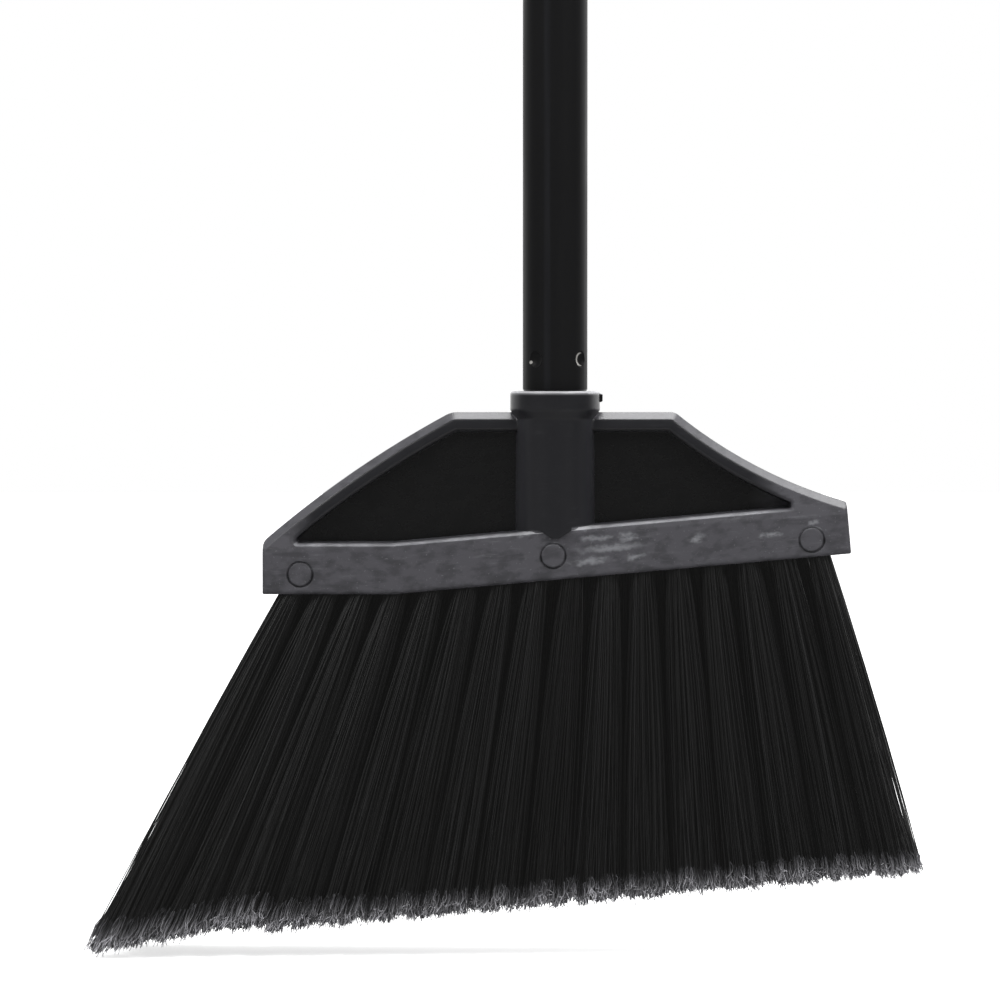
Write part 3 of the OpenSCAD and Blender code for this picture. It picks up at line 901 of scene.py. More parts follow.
@dataclass(frozen=True)
class FilmFinish:
    """Satin black film, drawn along the tube, with the faint ridge of its lengthwise overlap and a lighter
    strip along it that is a painted reflection.

    A spot on the film is its turn round the tube, from the front, and its height.
    """

    black: Colour = (0.009, 0.009, 0.0095)
    # Lighter colour of the overlap's strip: a painted reflection.
    overlap_sheen: Colour = (0.0138, 0.0142, 0.016)
    overlap_turn: float = math.radians(-15.0)
    overlap_half: float = math.radians(5.0)
    overlap_fade: Ease = Ease(0.06, -0.04)
    overlap_tone: Ease = Ease(0.25, 0.75, 0.55, 1.0)
    # Colour of the painted glints at the crimps.
    crimp_glint: Colour = (0.42, 0.41, 0.39)
    radius: float = 11.2 * MM
    dent: tuple[float, float] = (math.radians(52.0), 10.5 * MM)
    dent_fade: Ease = Ease(2.5 * MM, 2.1 * MM)
    dent_floor: tuple[float, float] = (math.radians(59.0), 10.5 * MM)
    floor_fade: Ease = Ease(2.0 * MM, 2.4 * MM)
    glint_dot: tuple[float, float] = (math.radians(-50.0), 9.4 * MM)
    glint_dot_fade: Ease = Ease(0.75 * MM, 0.35 * MM)
    drawn: Waves = Waves((900.0, 900.0, 14.0), 3.0, 0.6)
    smears: Waves = Waves((60.0, 60.0, 18.0), 3.0, 0.55)
    smear_share: float = 0.5
    roughness: Ease = Ease(0.3, 0.7, 0.36, 0.5)
    shine: float = 0.1
    fineness: float = 500.0
    drawn_height: float = 0.35
    overlap_height: float = 0.8
    relief: Relief = Relief(0.05, 0.15 * MM)

    def off(self, c: Canvas, turn: Socket, z: Socket, spot: tuple[float, float]) -> Socket:
        """Measures over the film from a spot on it.

        Args:
            c: The material's canvas.
            turn: Turn round the tube, from the front.
            z: Height.
            spot: The spot.

        Returns:
            The distance.
        """
        spot_turn, spot_z = spot
        return c.span(c.times(c.less(turn, spot_turn), self.radius), c.less(z, spot_z))

    def crimp_glints(self, c: Canvas, turn: Socket, z: Socket) -> Feed:
        """Finds the painted glints at the crimps: a crescent in the right dent, a dot by the left one.

        Args:
            c: The material's canvas.
            turn: Turn round the tube, from the front.
            z: Height.

        Returns:
            How far a place is bared.
        """
        in_dent = c.ease(self.off(c, turn, z, self.dent), self.dent_fade)
        off_floor = c.ease(self.off(c, turn, z, self.dent_floor), self.floor_fade)
        on_glint_dot = c.ease(self.off(c, turn, z, self.glint_dot), self.glint_dot_fade)
        return c.most(c.times(in_dent, off_floor), on_glint_dot)

    def make(self, effects: Effects) -> bpy.types.Material:
        """Makes the material.

        Args:
            effects: The shared shader groups.

        Returns:
            The film's material.
        """
        material, c, shader = new_material("gloss_film")
        place = c.node("ShaderNodeTexCoord").outputs["Object"]
        x, y, z = c.parts(place)
        turn = c.math("ARCTAN2", x, c.times(y, -1.0))
        off_strip = c.size(c.less(turn, self.overlap_turn))
        on_strip = c.ease(off_strip, self.overlap_fade.moved(self.overlap_half))
        drawn = c.noise(place, self.drawn)
        # Painted reflection along the overlap's strip.
        tint = c.times(on_strip, c.ease(drawn, self.overlap_tone))
        colour = c.mix(Mix.COLOUR, tint, self.black, self.overlap_sheen)
        # Painted glints at the crimps.
        c.feed(shader["Base Color"], c.mix(Mix.COLOUR, self.crimp_glints(c, turn, z), colour, self.crimp_glint))
        uneven = c.mix(Mix.VALUE, self.smear_share, drawn, c.noise(place, self.smears))
        c.feed(shader["Roughness"], c.ease(uneven, self.roughness))
        shader["Specular IOR Level"].default_value = self.shine
        peel = effects.grain.use(c, Place=place, Fineness=self.fineness)["Height"]
        height = c.math("MULTIPLY_ADD", on_strip, self.overlap_height, peel)
        height = c.math("MULTIPLY_ADD", drawn, self.drawn_height, height)
        c.feed(shader["Normal"], c.relief(height, self.relief))
        return material


@dataclass(frozen=True)
class MouldedFinish:
    """Plain moulded plastic with fine grain and light handling marks."""

    name: str
    colour: Colour
    worn: Colour
    roughness: float = 0.35
    roughness_spread: float = 0.2
    rub_share: float = 0.35
    fleck_share: float = 0.3
    fineness: float = 2200.0
    relief: Relief = Relief(0.2, 0.1 * MM)

    def make(self, effects: Effects) -> bpy.types.Material:
        """Makes the material.

        Args:
            effects: The shared shader groups.

        Returns:
            The plastic's material.
        """
        material, c, shader = new_material(self.name)
        place = c.node("ShaderNodeTexCoord").outputs["Object"]
        scuffs = effects.scuffs.use(c, Place=place)
        rubs = c.times(scuffs["Rubs"], self.rub_share)
        marks = c.most(rubs, c.times(scuffs["Flecks"], self.fleck_share))
        c.feed(shader["Base Color"], c.mix(Mix.COLOUR, marks, self.colour, self.worn))
        rough = c.math("MULTIPLY_ADD", scuffs["Clouds"], self.roughness_spread, self.roughness)
        c.feed(shader["Roughness"], rough)
        grain = effects.grain.use(c, Place=place, Fineness=self.fineness)["Height"]
        c.feed(shader["Normal"], c.relief(grain, self.relief))
        return material


@dataclass(frozen=True)
class SteelFinish:
    """Drawn steel with lengthwise lines and a little tarnish."""

    name: str = "anchor_wire_steel"
    bright: Colour = (0.55, 0.56, 0.57)
    tarnish: Colour = (0.25, 0.24, 0.23)
    drawn: Waves = Waves((60.0, 1500.0, 1500.0), 3.0, 0.6)
    stains: Waves = Waves(220.0, 4.0, 0.6)
    stained: Ease = Ease(0.45, 0.7)
    metallic: Ease = Ease(0.0, 1.0, 1.0, 0.75)
    roughness: float = 0.25
    roughness_spread: float = 0.3
    relief: Relief = Relief(0.15, 0.05 * MM)

    def make(self) -> bpy.types.Material:
        """Makes the material.

        Returns:
            The steel's material.
        """
        material, c, shader = new_material(self.name)
        place = c.node("ShaderNodeTexCoord").outputs["Object"]
        drawn = c.noise(place, self.drawn)
        stain = c.ease(c.noise(place, self.stains), self.stained)
        c.feed(shader["Base Color"], c.mix(Mix.COLOUR, stain, self.bright, self.tarnish))
        c.feed(shader["Metallic"], c.ease(stain, self.metallic))
        c.feed(shader["Roughness"], c.math("MULTIPLY_ADD", drawn, self.roughness_spread, self.roughness))
        c.feed(shader["Normal"], c.relief(drawn, self.relief))
        return material


@dataclass(frozen=True)
class BristleFinish:
    """Black filament that varies from strand to strand and turns grey where its end is flagged.

    The glow stands for the light that scatters between thousands of filaments.
    """

    name: str
    dark: Colour
    light: Colour
    flagged: Colour
    flag: Ease
    rare_light: float = 3.0
    mottle: Waves = Waves(300.0, 3.0)
    mottled: Ease = Ease(0.3, 0.7, 0.55, 1.0)
    roughness: Ease = Ease(0.0, 1.0, 0.34, 0.5)
    flag_roughness: float = 0.75
    glow: Colour = (0.0055, 0.0055, 0.0054)
    shine: float = 0.35
    relief: Relief = Relief(0.1, 0.05 * MM)

    def make(self) -> bpy.types.Material:
        """Makes the material.

        Returns:
            The filament's material.
        """
        material, c, shader = new_material(self.name)
        share = c.node("ShaderNodeAttribute", attribute_name="share").outputs["Fac"]
        tone = c.node("ShaderNodeAttribute", attribute_name="tone").outputs["Fac"]
        mottle = c.noise(c.node("ShaderNodeTexCoord").outputs["Object"], self.mottle)
        colour = c.mix(Mix.COLOUR, c.math("POWER", tone, self.rare_light), self.dark, self.light)
        greying = c.times(c.ease(share, self.flag), c.ease(mottle, self.mottled))
        c.feed(shader["Base Color"], c.mix(Mix.COLOUR, greying, colour, self.flagged))
        rough = c.mix(Mix.VALUE, greying, c.ease(tone, self.roughness), self.flag_roughness)
        c.feed(shader["Roughness"], rough)
        shader["Emission Color"].default_value = (*self.glow, 1.0)
        shader["Emission Strength"].default_value = 1.0
        shader["Specular IOR Level"].default_value = self.shine
        c.feed(shader["Normal"], c.relief(mottle, self.relief))
        return material


@dataclass
class Palette:
    """The broom's materials."""

    bar: BarLine
    effects: Effects = field(default_factory=Effects)

    def __post_init__(self) -> None:
        """Makes every material once."""
        cap = MouldedFinish("grained_cap_plastic", (0.014, 0.0145, 0.016), (0.08, 0.082, 0.09))
        tip = MouldedFinish("pale_tip_plastic", (0.56, 0.54, 0.49), (0.7, 0.68, 0.62), 0.3)
        coat = MouldedFinish("black_tube_coat", (0.013, 0.013, 0.0145), (0.12, 0.12, 0.125), 0.26)
        filament = BristleFinish(
            name="bristle_filament",
            dark=grey(0.0056),
            light=(0.0122, 0.0122, 0.0128),
            flagged=(0.15, 0.15, 0.16),
            flag=Ease(0.93, 1.0),
        )
        flag = BristleFinish(
            name="bristle_flag",
            dark=(0.03, 0.03, 0.033),
            light=(0.1, 0.098, 0.108),
            flagged=(0.82, 0.81, 0.86),
            flag=Ease(0.1, 1.3),
        )
        self.block = BlockFinish(self.bar).make(self.effects)
        self.film = FilmFinish().make(self.effects)
        self.cap = cap.make(self.effects)
        self.tip = tip.make(self.effects)
        self.tube = coat.make(self.effects)
        self.anchor = SteelFinish().make()
        self.filament = filament.make()
        self.flag = flag.make()


def link_object(name: str, mesh: bpy.types.Mesh) -> bpy.types.Object:
    """Puts a mesh into the scene, at the origin.

    Args:
        name: Name of the object.
        mesh: Its mesh.

    Returns:
        The object.
    """
    piece = bpy.data.objects.new(name, mesh)
    bpy.context.scene.collection.objects.link(piece)
    return piece


def point_object(name: str, points: list[Triple]) -> bpy.types.Object:
    """Makes an object of loose points, for a tree to start from.

    Args:
        name: Name of the object.
        points: The points.

    Returns:
        The object.
    """
    mesh = bpy.data.meshes.new(name)
    mesh.from_pydata(points, [], [])
    return link_object(name, mesh)


def hand_over(piece: bpy.types.Object, body: Body, slot: Slot, *nodes: str) -> None:
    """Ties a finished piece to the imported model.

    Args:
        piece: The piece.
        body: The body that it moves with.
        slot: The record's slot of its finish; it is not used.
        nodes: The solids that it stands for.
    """
    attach(piece, body.value)
    if nodes:
        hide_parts(*nodes)
    LOG.info("piece %s rides on %s with %d faces", piece.name, body.value, len(piece.data.polygons))


class GeometryTree:
    """A Geometry Nodes tree with named inputs."""

    def __init__(self, name: str, inputs: dict[str, str], modifier: bool = True) -> None:
        """Starts the tree.

        Args:
            name: Name of the tree.
            inputs: Socket type of each input after the geometry, by name.
            modifier: Whether it is put on an object, and not only into another tree.
        """
        self.tree = bpy.data.node_groups.new(name, "GeometryNodeTree")
        self.tree.is_modifier = modifier
        self.tree.interface.new_socket("Geometry", in_out="INPUT", socket_type="NodeSocketGeometry")
        self.keys = {}
        for label, kind in inputs.items():
            socket = self.tree.interface.new_socket(label, in_out="INPUT", socket_type=kind)
            self.keys[label] = socket.identifier
        self.tree.interface.new_socket("Geometry", in_out="OUTPUT", socket_type="NodeSocketGeometry")
        self.canvas = Canvas(self.tree)
        self.source = self.canvas.node("NodeGroupInput").outputs
        self.sink = self.canvas.node("NodeGroupOutput").inputs

    def attribute(self, name: str) -> Socket:
        """Reads a named vector."""
        settings = {"data_type": "FLOAT_VECTOR"}
        return self.canvas.node("GeometryNodeInputNamedAttribute", {"Name": name}, **settings).outputs[0]

    def store(self, geometry: Socket, name: str, value: Feed, kind: str = "FLOAT_VECTOR") -> Socket:
        """Keeps a value on every point.

        Args:
            geometry: The points.
            name: Name of the attribute.
            value: Its value.
            kind: Blender's name of its type.

        Returns:
            The points with the attribute.
        """
        node = self.canvas.node("GeometryNodeStoreNamedAttribute", {0: geometry}, data_type=kind)
        self.canvas.feed(node.inputs["Name"], name)
        self.canvas.feed(node.inputs["Value"], value)
        return node.outputs[0]

    def random(self, low: float, high: float, lane: Lane) -> Socket:
        """Gives each point a random number.

        Args:
            low: Lowest number.
            high: Highest number.
            lane: Tells this choice from the tree's others.

        Returns:
            The number.
        """
        seed = self.canvas.math("ADD", self.source["Seed"], float(lane.value))
        feeds = {2: low, 3: high, 8: seed}
        return self.canvas.node("FunctionNodeRandomValue", feeds, data_type="FLOAT").outputs[1]

    def nest(self, inner: "GeometryTree", geometry: Socket) -> Socket:
        """Runs another tree inside this one, with this tree's inputs of the same names.

        Args:
            inner: The other tree.
            geometry: What it starts from.

        Returns:
            What it gives.
        """
        node = self.canvas.node("GeometryNodeGroup", node_tree=inner.tree)
        self.canvas.feed(node.inputs[0], geometry)
        for label in inner.keys:
            self.canvas.feed(node.inputs[label], self.source[label])
        return node.outputs[0]

    def close(self, geometry: Socket) -> None:
        """Realizes the instances, sets the material and ends the tree.

        Args:
            geometry: The finished geometry.
        """
        real = self.canvas.node("GeometryNodeRealizeInstances", {0: geometry}).outputs[0]
        dressed = self.canvas.node("GeometryNodeSetMaterial", {0: real, "Material": self.source["Material"]})
        self.canvas.feed(self.sink[0], dressed.outputs[0])

    def grow(self, name: str, carrier: bpy.types.Object, sizes: dict[str, object]) -> bpy.types.Object:
        """Runs the tree on an object and keeps the result as a plain mesh.

        Args:
            name: Name of the new piece.
            carrier: The object that the tree starts from.
            sizes: Value of each named input.

        Returns:
            The new piece.
        """
        modifier = carrier.modifiers.new(name, "NODES")
        modifier.node_group = self.tree
        for label, value in sizes.items():
            modifier[self.keys[label]] = value
        graph = bpy.context.evaluated_depsgraph_get()
        mesh = bpy.data.meshes.new_from_object(carrier.evaluated_get(graph), depsgraph=graph)
        mesh.name = name
        carrier.modifiers.remove(modifier)
        return link_object(name, mesh)


class FilamentAxes(GeometryTree):
    """Scatters filaments over the mouth of every tuft and gives each its root, tip, bow and tone."""

    INPUTS = {
        "Filaments": "NodeSocketInt",
        "Bundle Radius": "NodeSocketFloat",
        "Root Depth": "NodeSocketFloat",
        "Flare": "NodeSocketFloat",
        "Stray": "NodeSocketFloat",
        "Length Spread": "NodeSocketFloat",
        "Clump": "NodeSocketFloat",
        "Clump Waves": "NodeSocketFloat",
        "Bow": "NodeSocketFloat",
        "Trim Point": "NodeSocketVector",
        "Trim Normal": "NodeSocketVector",
        "Seed": "NodeSocketInt",
    }
    LOOSE_RARITY = 60.0
    LOOSE_REACH = 2.0
    CLUMPED_LENGTH = Ease(0.3, 0.7, -1.0, 0.25)
    RAGGED_LENGTH = (-0.25, 0.1)
    SHORTER_LEFT = Ease(-96.0 * MM, -106.0 * MM, 0.0, -0.7)
    LONGER_FAR_LEFT = Ease(-112.0 * MM, -162.0 * MM, 0.0, 1.45)

    def __init__(self) -> None:
        """Builds the tree."""
        super().__init__("filament_axes", self.INPUTS, modifier=False)
        c = self.canvas
        self.across = self.attribute("across")
        self.back = self.attribute("back")
        self.along = self.attribute("along")
        copies = c.node("GeometryNodeDuplicateElements", {0: self.source[0]}, domain="POINT")
        c.feed(copies.inputs["Amount"], self.source["Filaments"])
        spoke = c.scaled(self.around(Lane.TURN), c.math("SQRT", self.random(0.0, 1.0, Lane.REACH)))
        mouth = c.node("GeometryNodeInputPosition").outputs[0]
        at_mouth = c.vector("ADD", mouth, c.scaled(spoke, self.source["Bundle Radius"]))
        root = c.vector("SUBTRACT", at_mouth, c.scaled(self.along, self.source["Root Depth"]))
        spread = c.vector("ADD", c.scaled(spoke, self.source["Flare"]), self.stray())
        tip = self.trimmed(at_mouth, c.vector("ADD", self.along, spread))
        points = self.store(copies.outputs[0], "root", root)
        points = self.store(points, "tip", tip)
        points = self.store(points, "bow", c.scaled(self.around(Lane.BOW), self.source["Bow"]))
        tone = self.random(0.0, 1.0, Lane.TONE)
        c.feed(self.sink[0], self.store(points, "tone", tone, "FLOAT"))

    def around(self, lane: Lane) -> Socket:
        """Points each filament to a random side of its tuft.

        Args:
            lane: The random choice.

        Returns:
            A vector of length one, square to the tuft.
        """
        c = self.canvas
        turn = self.random(0.0, math.tau, lane)
        side = c.scaled(self.across, c.math("COSINE", turn))
        return c.vector("ADD", side, c.scaled(self.back, c.math("SINE", turn)))

    def stray(self) -> Socket:
        """Leans each filament a little out of line, and a few of them more.

        Returns:
            The lean, as a share of the length.
        """
        c = self.canvas
        rare = c.math("POWER", self.random(0.0, 1.0, Lane.LOOSE), self.LOOSE_RARITY)
        stray = c.times(c.math("MULTIPLY_ADD", rare, self.LOOSE_REACH, 1.0), self.source["Stray"])
        side = c.scaled(self.across, c.times(self.random(-1.0, 1.0, Lane.STRAY_SIDE), stray))
        depth = c.scaled(self.back, c.times(self.random(-1.0, 1.0, Lane.STRAY_DEPTH), stray))
        return c.vector("ADD", side, depth)

    def trimmed(self, at_mouth: Socket, lean: Socket) -> Socket:
        """Ends each filament near the plane of the trim, gathered into clumps.

        Args:
            at_mouth: Where it leaves the bar.
            lean: The way that it runs.

        Returns:
            Its tip.
        """
        c = self.canvas
        normal = self.source["Trim Normal"]
        waves = self.source["Clump Waves"]
        drop = c.dot(c.vector("SUBTRACT", self.source["Trim Point"], at_mouth), normal)
        length = c.math("DIVIDE", drop, c.dot(lean, normal))
        even = c.vector("ADD", at_mouth, c.scaled(lean, length))
        clumped = c.ease(c.noise(even, Waves(waves)), self.CLUMPED_LENGTH)
        uneven = c.math("ADD", clumped, self.random(*self.RAGGED_LENGTH, Lane.RAGGED))
        x = c.parts(even)["X"]
        at_left = c.math("ADD", c.ease(x, self.SHORTER_LEFT), c.ease(x, self.LONGER_FAR_LEFT))
        cut = c.times(c.math("ADD", uneven, at_left), self.source["Length Spread"])
        gather = c.scaled(c.drift(even, waves), self.source["Clump"])
        return c.vector("ADD", c.vector("ADD", even, c.scaled(self.along, cut)), gather)


class Strands(GeometryTree):
    """Draws a bowed, tapering strand from each point's root to its tip."""

    INPUTS = {
        "Steps": "NodeSocketInt",
        "Sides": "NodeSocketInt",
        "Radius": "NodeSocketFloat",
        "Tip Share": "NodeSocketFloat",
    }
    # Brings the bow to its full depth at the middle of a strand.
    BELLY = 4.0

    def __init__(self) -> None:
        """Builds the tree."""
        super().__init__("strands", self.INPUTS, modifier=False)
        c = self.canvas
        line = c.node("GeometryNodeCurvePrimitiveLine").outputs[0]
        steps = c.node("GeometryNodeResampleCurve", {0: line, "Count": self.source["Steps"]}).outputs[0]
        placed = c.node("GeometryNodeInstanceOnPoints", {0: self.source[0], "Instance": steps}).outputs[0]
        curves = c.node("GeometryNodeRealizeInstances", {0: placed}).outputs[0]
        share = c.node("GeometryNodeSplineParameter").outputs["Factor"]
        straight = c.mix(Mix.VECTOR, share, self.attribute("root"), self.attribute("tip"))
        belly = c.times(share, c.less(1.0, share), self.BELLY)
        bowed = c.vector("ADD", straight, c.scaled(self.attribute("bow"), belly))
        curves = c.node("GeometryNodeSetPosition", {0: curves, "Position": bowed}).outputs[0]
        curves = self.store(curves, "share", share, "FLOAT")
        taper = c.mix(Mix.VALUE, share, 1.0, self.source["Tip Share"])
        ring = {0: self.source["Sides"], "Radius": 1.0}
        section = c.node("GeometryNodeCurvePrimitiveCircle", ring).outputs[0]
        tube = c.node("GeometryNodeCurveToMesh", {0: curves, 1: section, "Fill Caps": True})
        c.feed(tube.inputs["Scale"], c.times(taper, self.source["Radius"]))
        c.feed(self.sink[0], tube.outputs[0])


class BristleTree(GeometryTree):
    """Filaments of one row of tufts, or the split hairs of their flagged ends."""

    OWN_INPUTS = {"Hairs": "NodeSocketInt", "Split": "NodeSocketFloat", "Fray": "NodeSocketFloat"}
    HAIR_REACH = (-0.3, 0.12)
    LONGER_LEFT = Ease(-20.0 * MM, -130.0 * MM, 1.0, 1.7)

    def __init__(self, name: str, axes: FilamentAxes, strands: Strands, flagged: bool) -> None:
        """Builds the tree.

        Args:
            name: Name of the tree.
            axes: Tree that places the filaments.
            strands: Tree that draws them.
            flagged: Whether the split ends are drawn instead of the filaments.
        """
        inputs = {**axes.INPUTS, **strands.INPUTS, **self.OWN_INPUTS, "Material": "NodeSocketMaterial"}
        super().__init__(name, inputs)
        points = self.nest(axes, self.source[0])
        if flagged:
            points = self.split(points)
        self.close(self.nest(strands, points))

    def split(self, points: Socket) -> Socket:
        """Turns each filament's end into several hairs that fan out.

        Args:
            points: The filaments' points.

        Returns:
            The hairs' points.
        """
        c = self.canvas
        copies = c.node("GeometryNodeDuplicateElements", {0: points}, domain="POINT")
        c.feed(copies.inputs["Amount"], self.source["Hairs"])
        tip = self.attribute("tip")
        way = c.vector("NORMALIZE", c.vector("SUBTRACT", tip, self.attribute("root")))
        fray = c.node("ShaderNodeCombineXYZ")
        for place, lane in enumerate((Lane.FRAY_X, Lane.FRAY_Y, Lane.FRAY_Z)):
            c.feed(fray.inputs[place], c.times(self.random(-1.0, 1.0, lane), self.source["Fray"]))
        sideways = fray.outputs[0]
        reach = c.times(self.random(*self.HAIR_REACH, Lane.HAIR_LENGTH), self.source["Split"])
        end = c.vector("ADD", c.vector("ADD", tip, c.scaled(way, reach)), sideways)
        length = c.times(c.ease(c.parts(tip)["X"], self.LONGER_LEFT), self.source["Split"])
        start = c.vector("SUBTRACT", tip, c.scaled(way, length))
        split = self.store(copies.outputs[0], "hair_end", end)
        split = self.store(split, "root", start)
        split = self.store(split, "tip", self.attribute("hair_end"))
        return self.store(split, "bow", c.scaled(sideways, -1.0))


@dataclass
class Bristles:
    """Three rows of tufts, each a bundle of straight filaments that flares and is trimmed at an angle."""

    bar: BarLine
    first: float = -91.4 * MM
    last: float = 91.0 * MM
    pitches: int = 15
    row_pitch: float = 7.2 * MM
    fan_left: float = -26.0
    fan_right: float = 14.0
    row_lean: float = 3.5
    bundle: float = 3.4 * MM
    root_depth: float = 6.5 * MM
    flare: float = 0.045
    stray: float = 0.009
    length_spread: float = 2.8 * MM
    clump: float = 3.4 * MM
    clump_waves: float = 240.0
    bow: float = 1.4 * MM
    trim_level: float = -177.2 * MM
    trim_angle: float = 5.1
    filaments: int = 280
    sides: int = 3
    steps: int = 6
    radius: float = 0.24 * MM
    tip_share: float = 0.8
    hairs: int = 2
    hair_steps: int = 4
    hair_radius: float = 0.21 * MM
    hair_tip_share: float = 0.6
    split: float = 6.5 * MM
    fray: float = 1.7 * MM
    seed: int = 43
    row_seed: int = 100

    def carrier(self, row: Row) -> bpy.types.Object:
        """Makes one point at the mouth of each tuft of a row, with the tuft's axes.

        Args:
            row: The row.

        Returns:
            The object that the trees start from.
        """
        step = (self.last - self.first) / self.pitches
        tilt = math.radians(self.row_lean * row.side)
        mouths = []
        axes = {"across": [], "back": [], "along": []}
        for i in range(row.tufts):
            x = self.first + step * (i + row.shift)
            share = (x - self.first) / (self.last - self.first)
            lean = math.radians(self.fan_left + (self.fan_right - self.fan_left) * share)
            turn = Euler((tilt, -lean, 0.0), "XYZ").to_matrix()
            mouths.append((x, row.side * self.row_pitch, self.bar.under(x)))
            axes["across"].extend(turn.col[0])
            axes["back"].extend(turn.col[1])
            axes["along"].extend(-turn.col[2])
        carrier = point_object(f"tuft_mouths_{row.label}", mouths)
        for name, values in axes.items():
            attribute = carrier.data.attributes.new(name, "FLOAT_VECTOR", "POINT")
            attribute.data.foreach_set("vector", values)
        return carrier

    def sizes(self, row: Row, material: bpy.types.Material) -> dict[str, object]:
        """Lists the inputs that the filaments and their split ends share.

        Args:
            row: The row.
            material: Its material.

        Returns:
            The value of each input by name.
        """
        tilt = math.radians(self.trim_angle)
        return {
            "Filaments": self.filaments,
            "Bundle Radius": self.bundle,
            "Root Depth": self.root_depth,
            "Flare": self.flare,
            "Stray": self.stray,
            "Length Spread": self.length_spread,
            "Clump": self.clump,
            "Clump Waves": self.clump_waves,
            "Bow": self.bow,
            "Trim Point": (0.0, 0.0, self.trim_level),
            "Trim Normal": (-math.sin(tilt), 0.0, math.cos(tilt)),
            "Seed": self.seed + self.row_seed * row.side,
            "Sides": self.sides,
            "Material": material,
        }

    def build(self, palette: Palette) -> None:
        """Builds the filaments and the flagged ends of every row.

        Args:
            palette: The broom's materials.
        """
        axes = FilamentAxes()
        strands = Strands()
        whole = BristleTree("bristle_filaments", axes, strands, flagged=False)
        ends = BristleTree("bristle_flags", axes, strands, flagged=True)
        thick = {"Steps": self.steps, "Radius": self.radius, "Tip Share": self.tip_share}
        thin = {"Steps": self.hair_steps, "Radius": self.hair_radius, "Tip Share": self.hair_tip_share}
        fringe = {"Hairs": self.hairs, "Split": self.split, "Fray": self.fray}
        for row in Row:
            carrier = self.carrier(row)
            nodes = [f"tuft_{row.label}_{i + 1:02d}" for i in range(row.tufts)]
            sizes = {**self.sizes(row, palette.filament), **thick}
            filaments = whole.grow(f"bristles_{row.label}", carrier, sizes)
            hand_over(filaments, Body.HEAD, Slot.BRISTLE, *nodes)
            sizes = {**self.sizes(row, palette.flag), **thin, **fringe}
            flags = ends.grow(f"bristle_ends_{row.label}", carrier, sizes)
            hand_over(flags, Body.HEAD, Slot.BRISTLE)
            bpy.data.objects.remove(carrier)


class RidgeTree(GeometryTree):
    """Winds a screw ridge upwards from a point, right-handed."""

    INPUTS = {
        "Turns": "NodeSocketFloat",
        "Steps": "NodeSocketInt",
        "Radius": "NodeSocketFloat",
        "Rise": "NodeSocketFloat",
        "Foot": "NodeSocketFloat",
        "Crest": "NodeSocketFloat",
        "Height": "NodeSocketFloat",
        "Material": "NodeSocketMaterial",
    }
    CREST_OUTWARD = (0.0, 0.0, -math.pi / 2)

    def __init__(self) -> None:
        """Builds the tree."""
        super().__init__("screw_ridge", self.INPUTS)
        c = self.canvas
        winding = {
            "Resolution": self.source["Steps"],
            "Rotations": self.source["Turns"],
            "Start Radius": self.source["Radius"],
            "End Radius": self.source["Radius"],
            "Height": self.source["Rise"],
            "Reverse": True,
        }
        spiral = c.node("GeometryNodeCurveSpiral", winding).outputs[0]
        upright = c.node("GeometryNodeSetCurveNormal", {0: spiral}, mode="Z_UP").outputs[0]
        section = c.node("GeometryNodeCurvePrimitiveQuadrilateral", mode="TRAPEZOID")
        c.feed(section.inputs["Bottom Width"], self.source["Foot"])
        c.feed(section.inputs["Top Width"], self.source["Crest"])
        c.feed(section.inputs["Height"], self.source["Height"])
        c.feed(section.inputs["Offset"], 0.0)
        turned = {0: section.outputs[0], "Rotation": self.CREST_OUTWARD}
        profile = c.node("GeometryNodeTransform", turned).outputs[0]
        ridge = c.node("GeometryNodeCurveToMesh", {0: upright, 1: profile, "Fill Caps": True}).outputs[0]
        self.close(c.node("GeometryNodeInstanceOnPoints", {0: self.source[0], "Instance": ridge}).outputs[0])


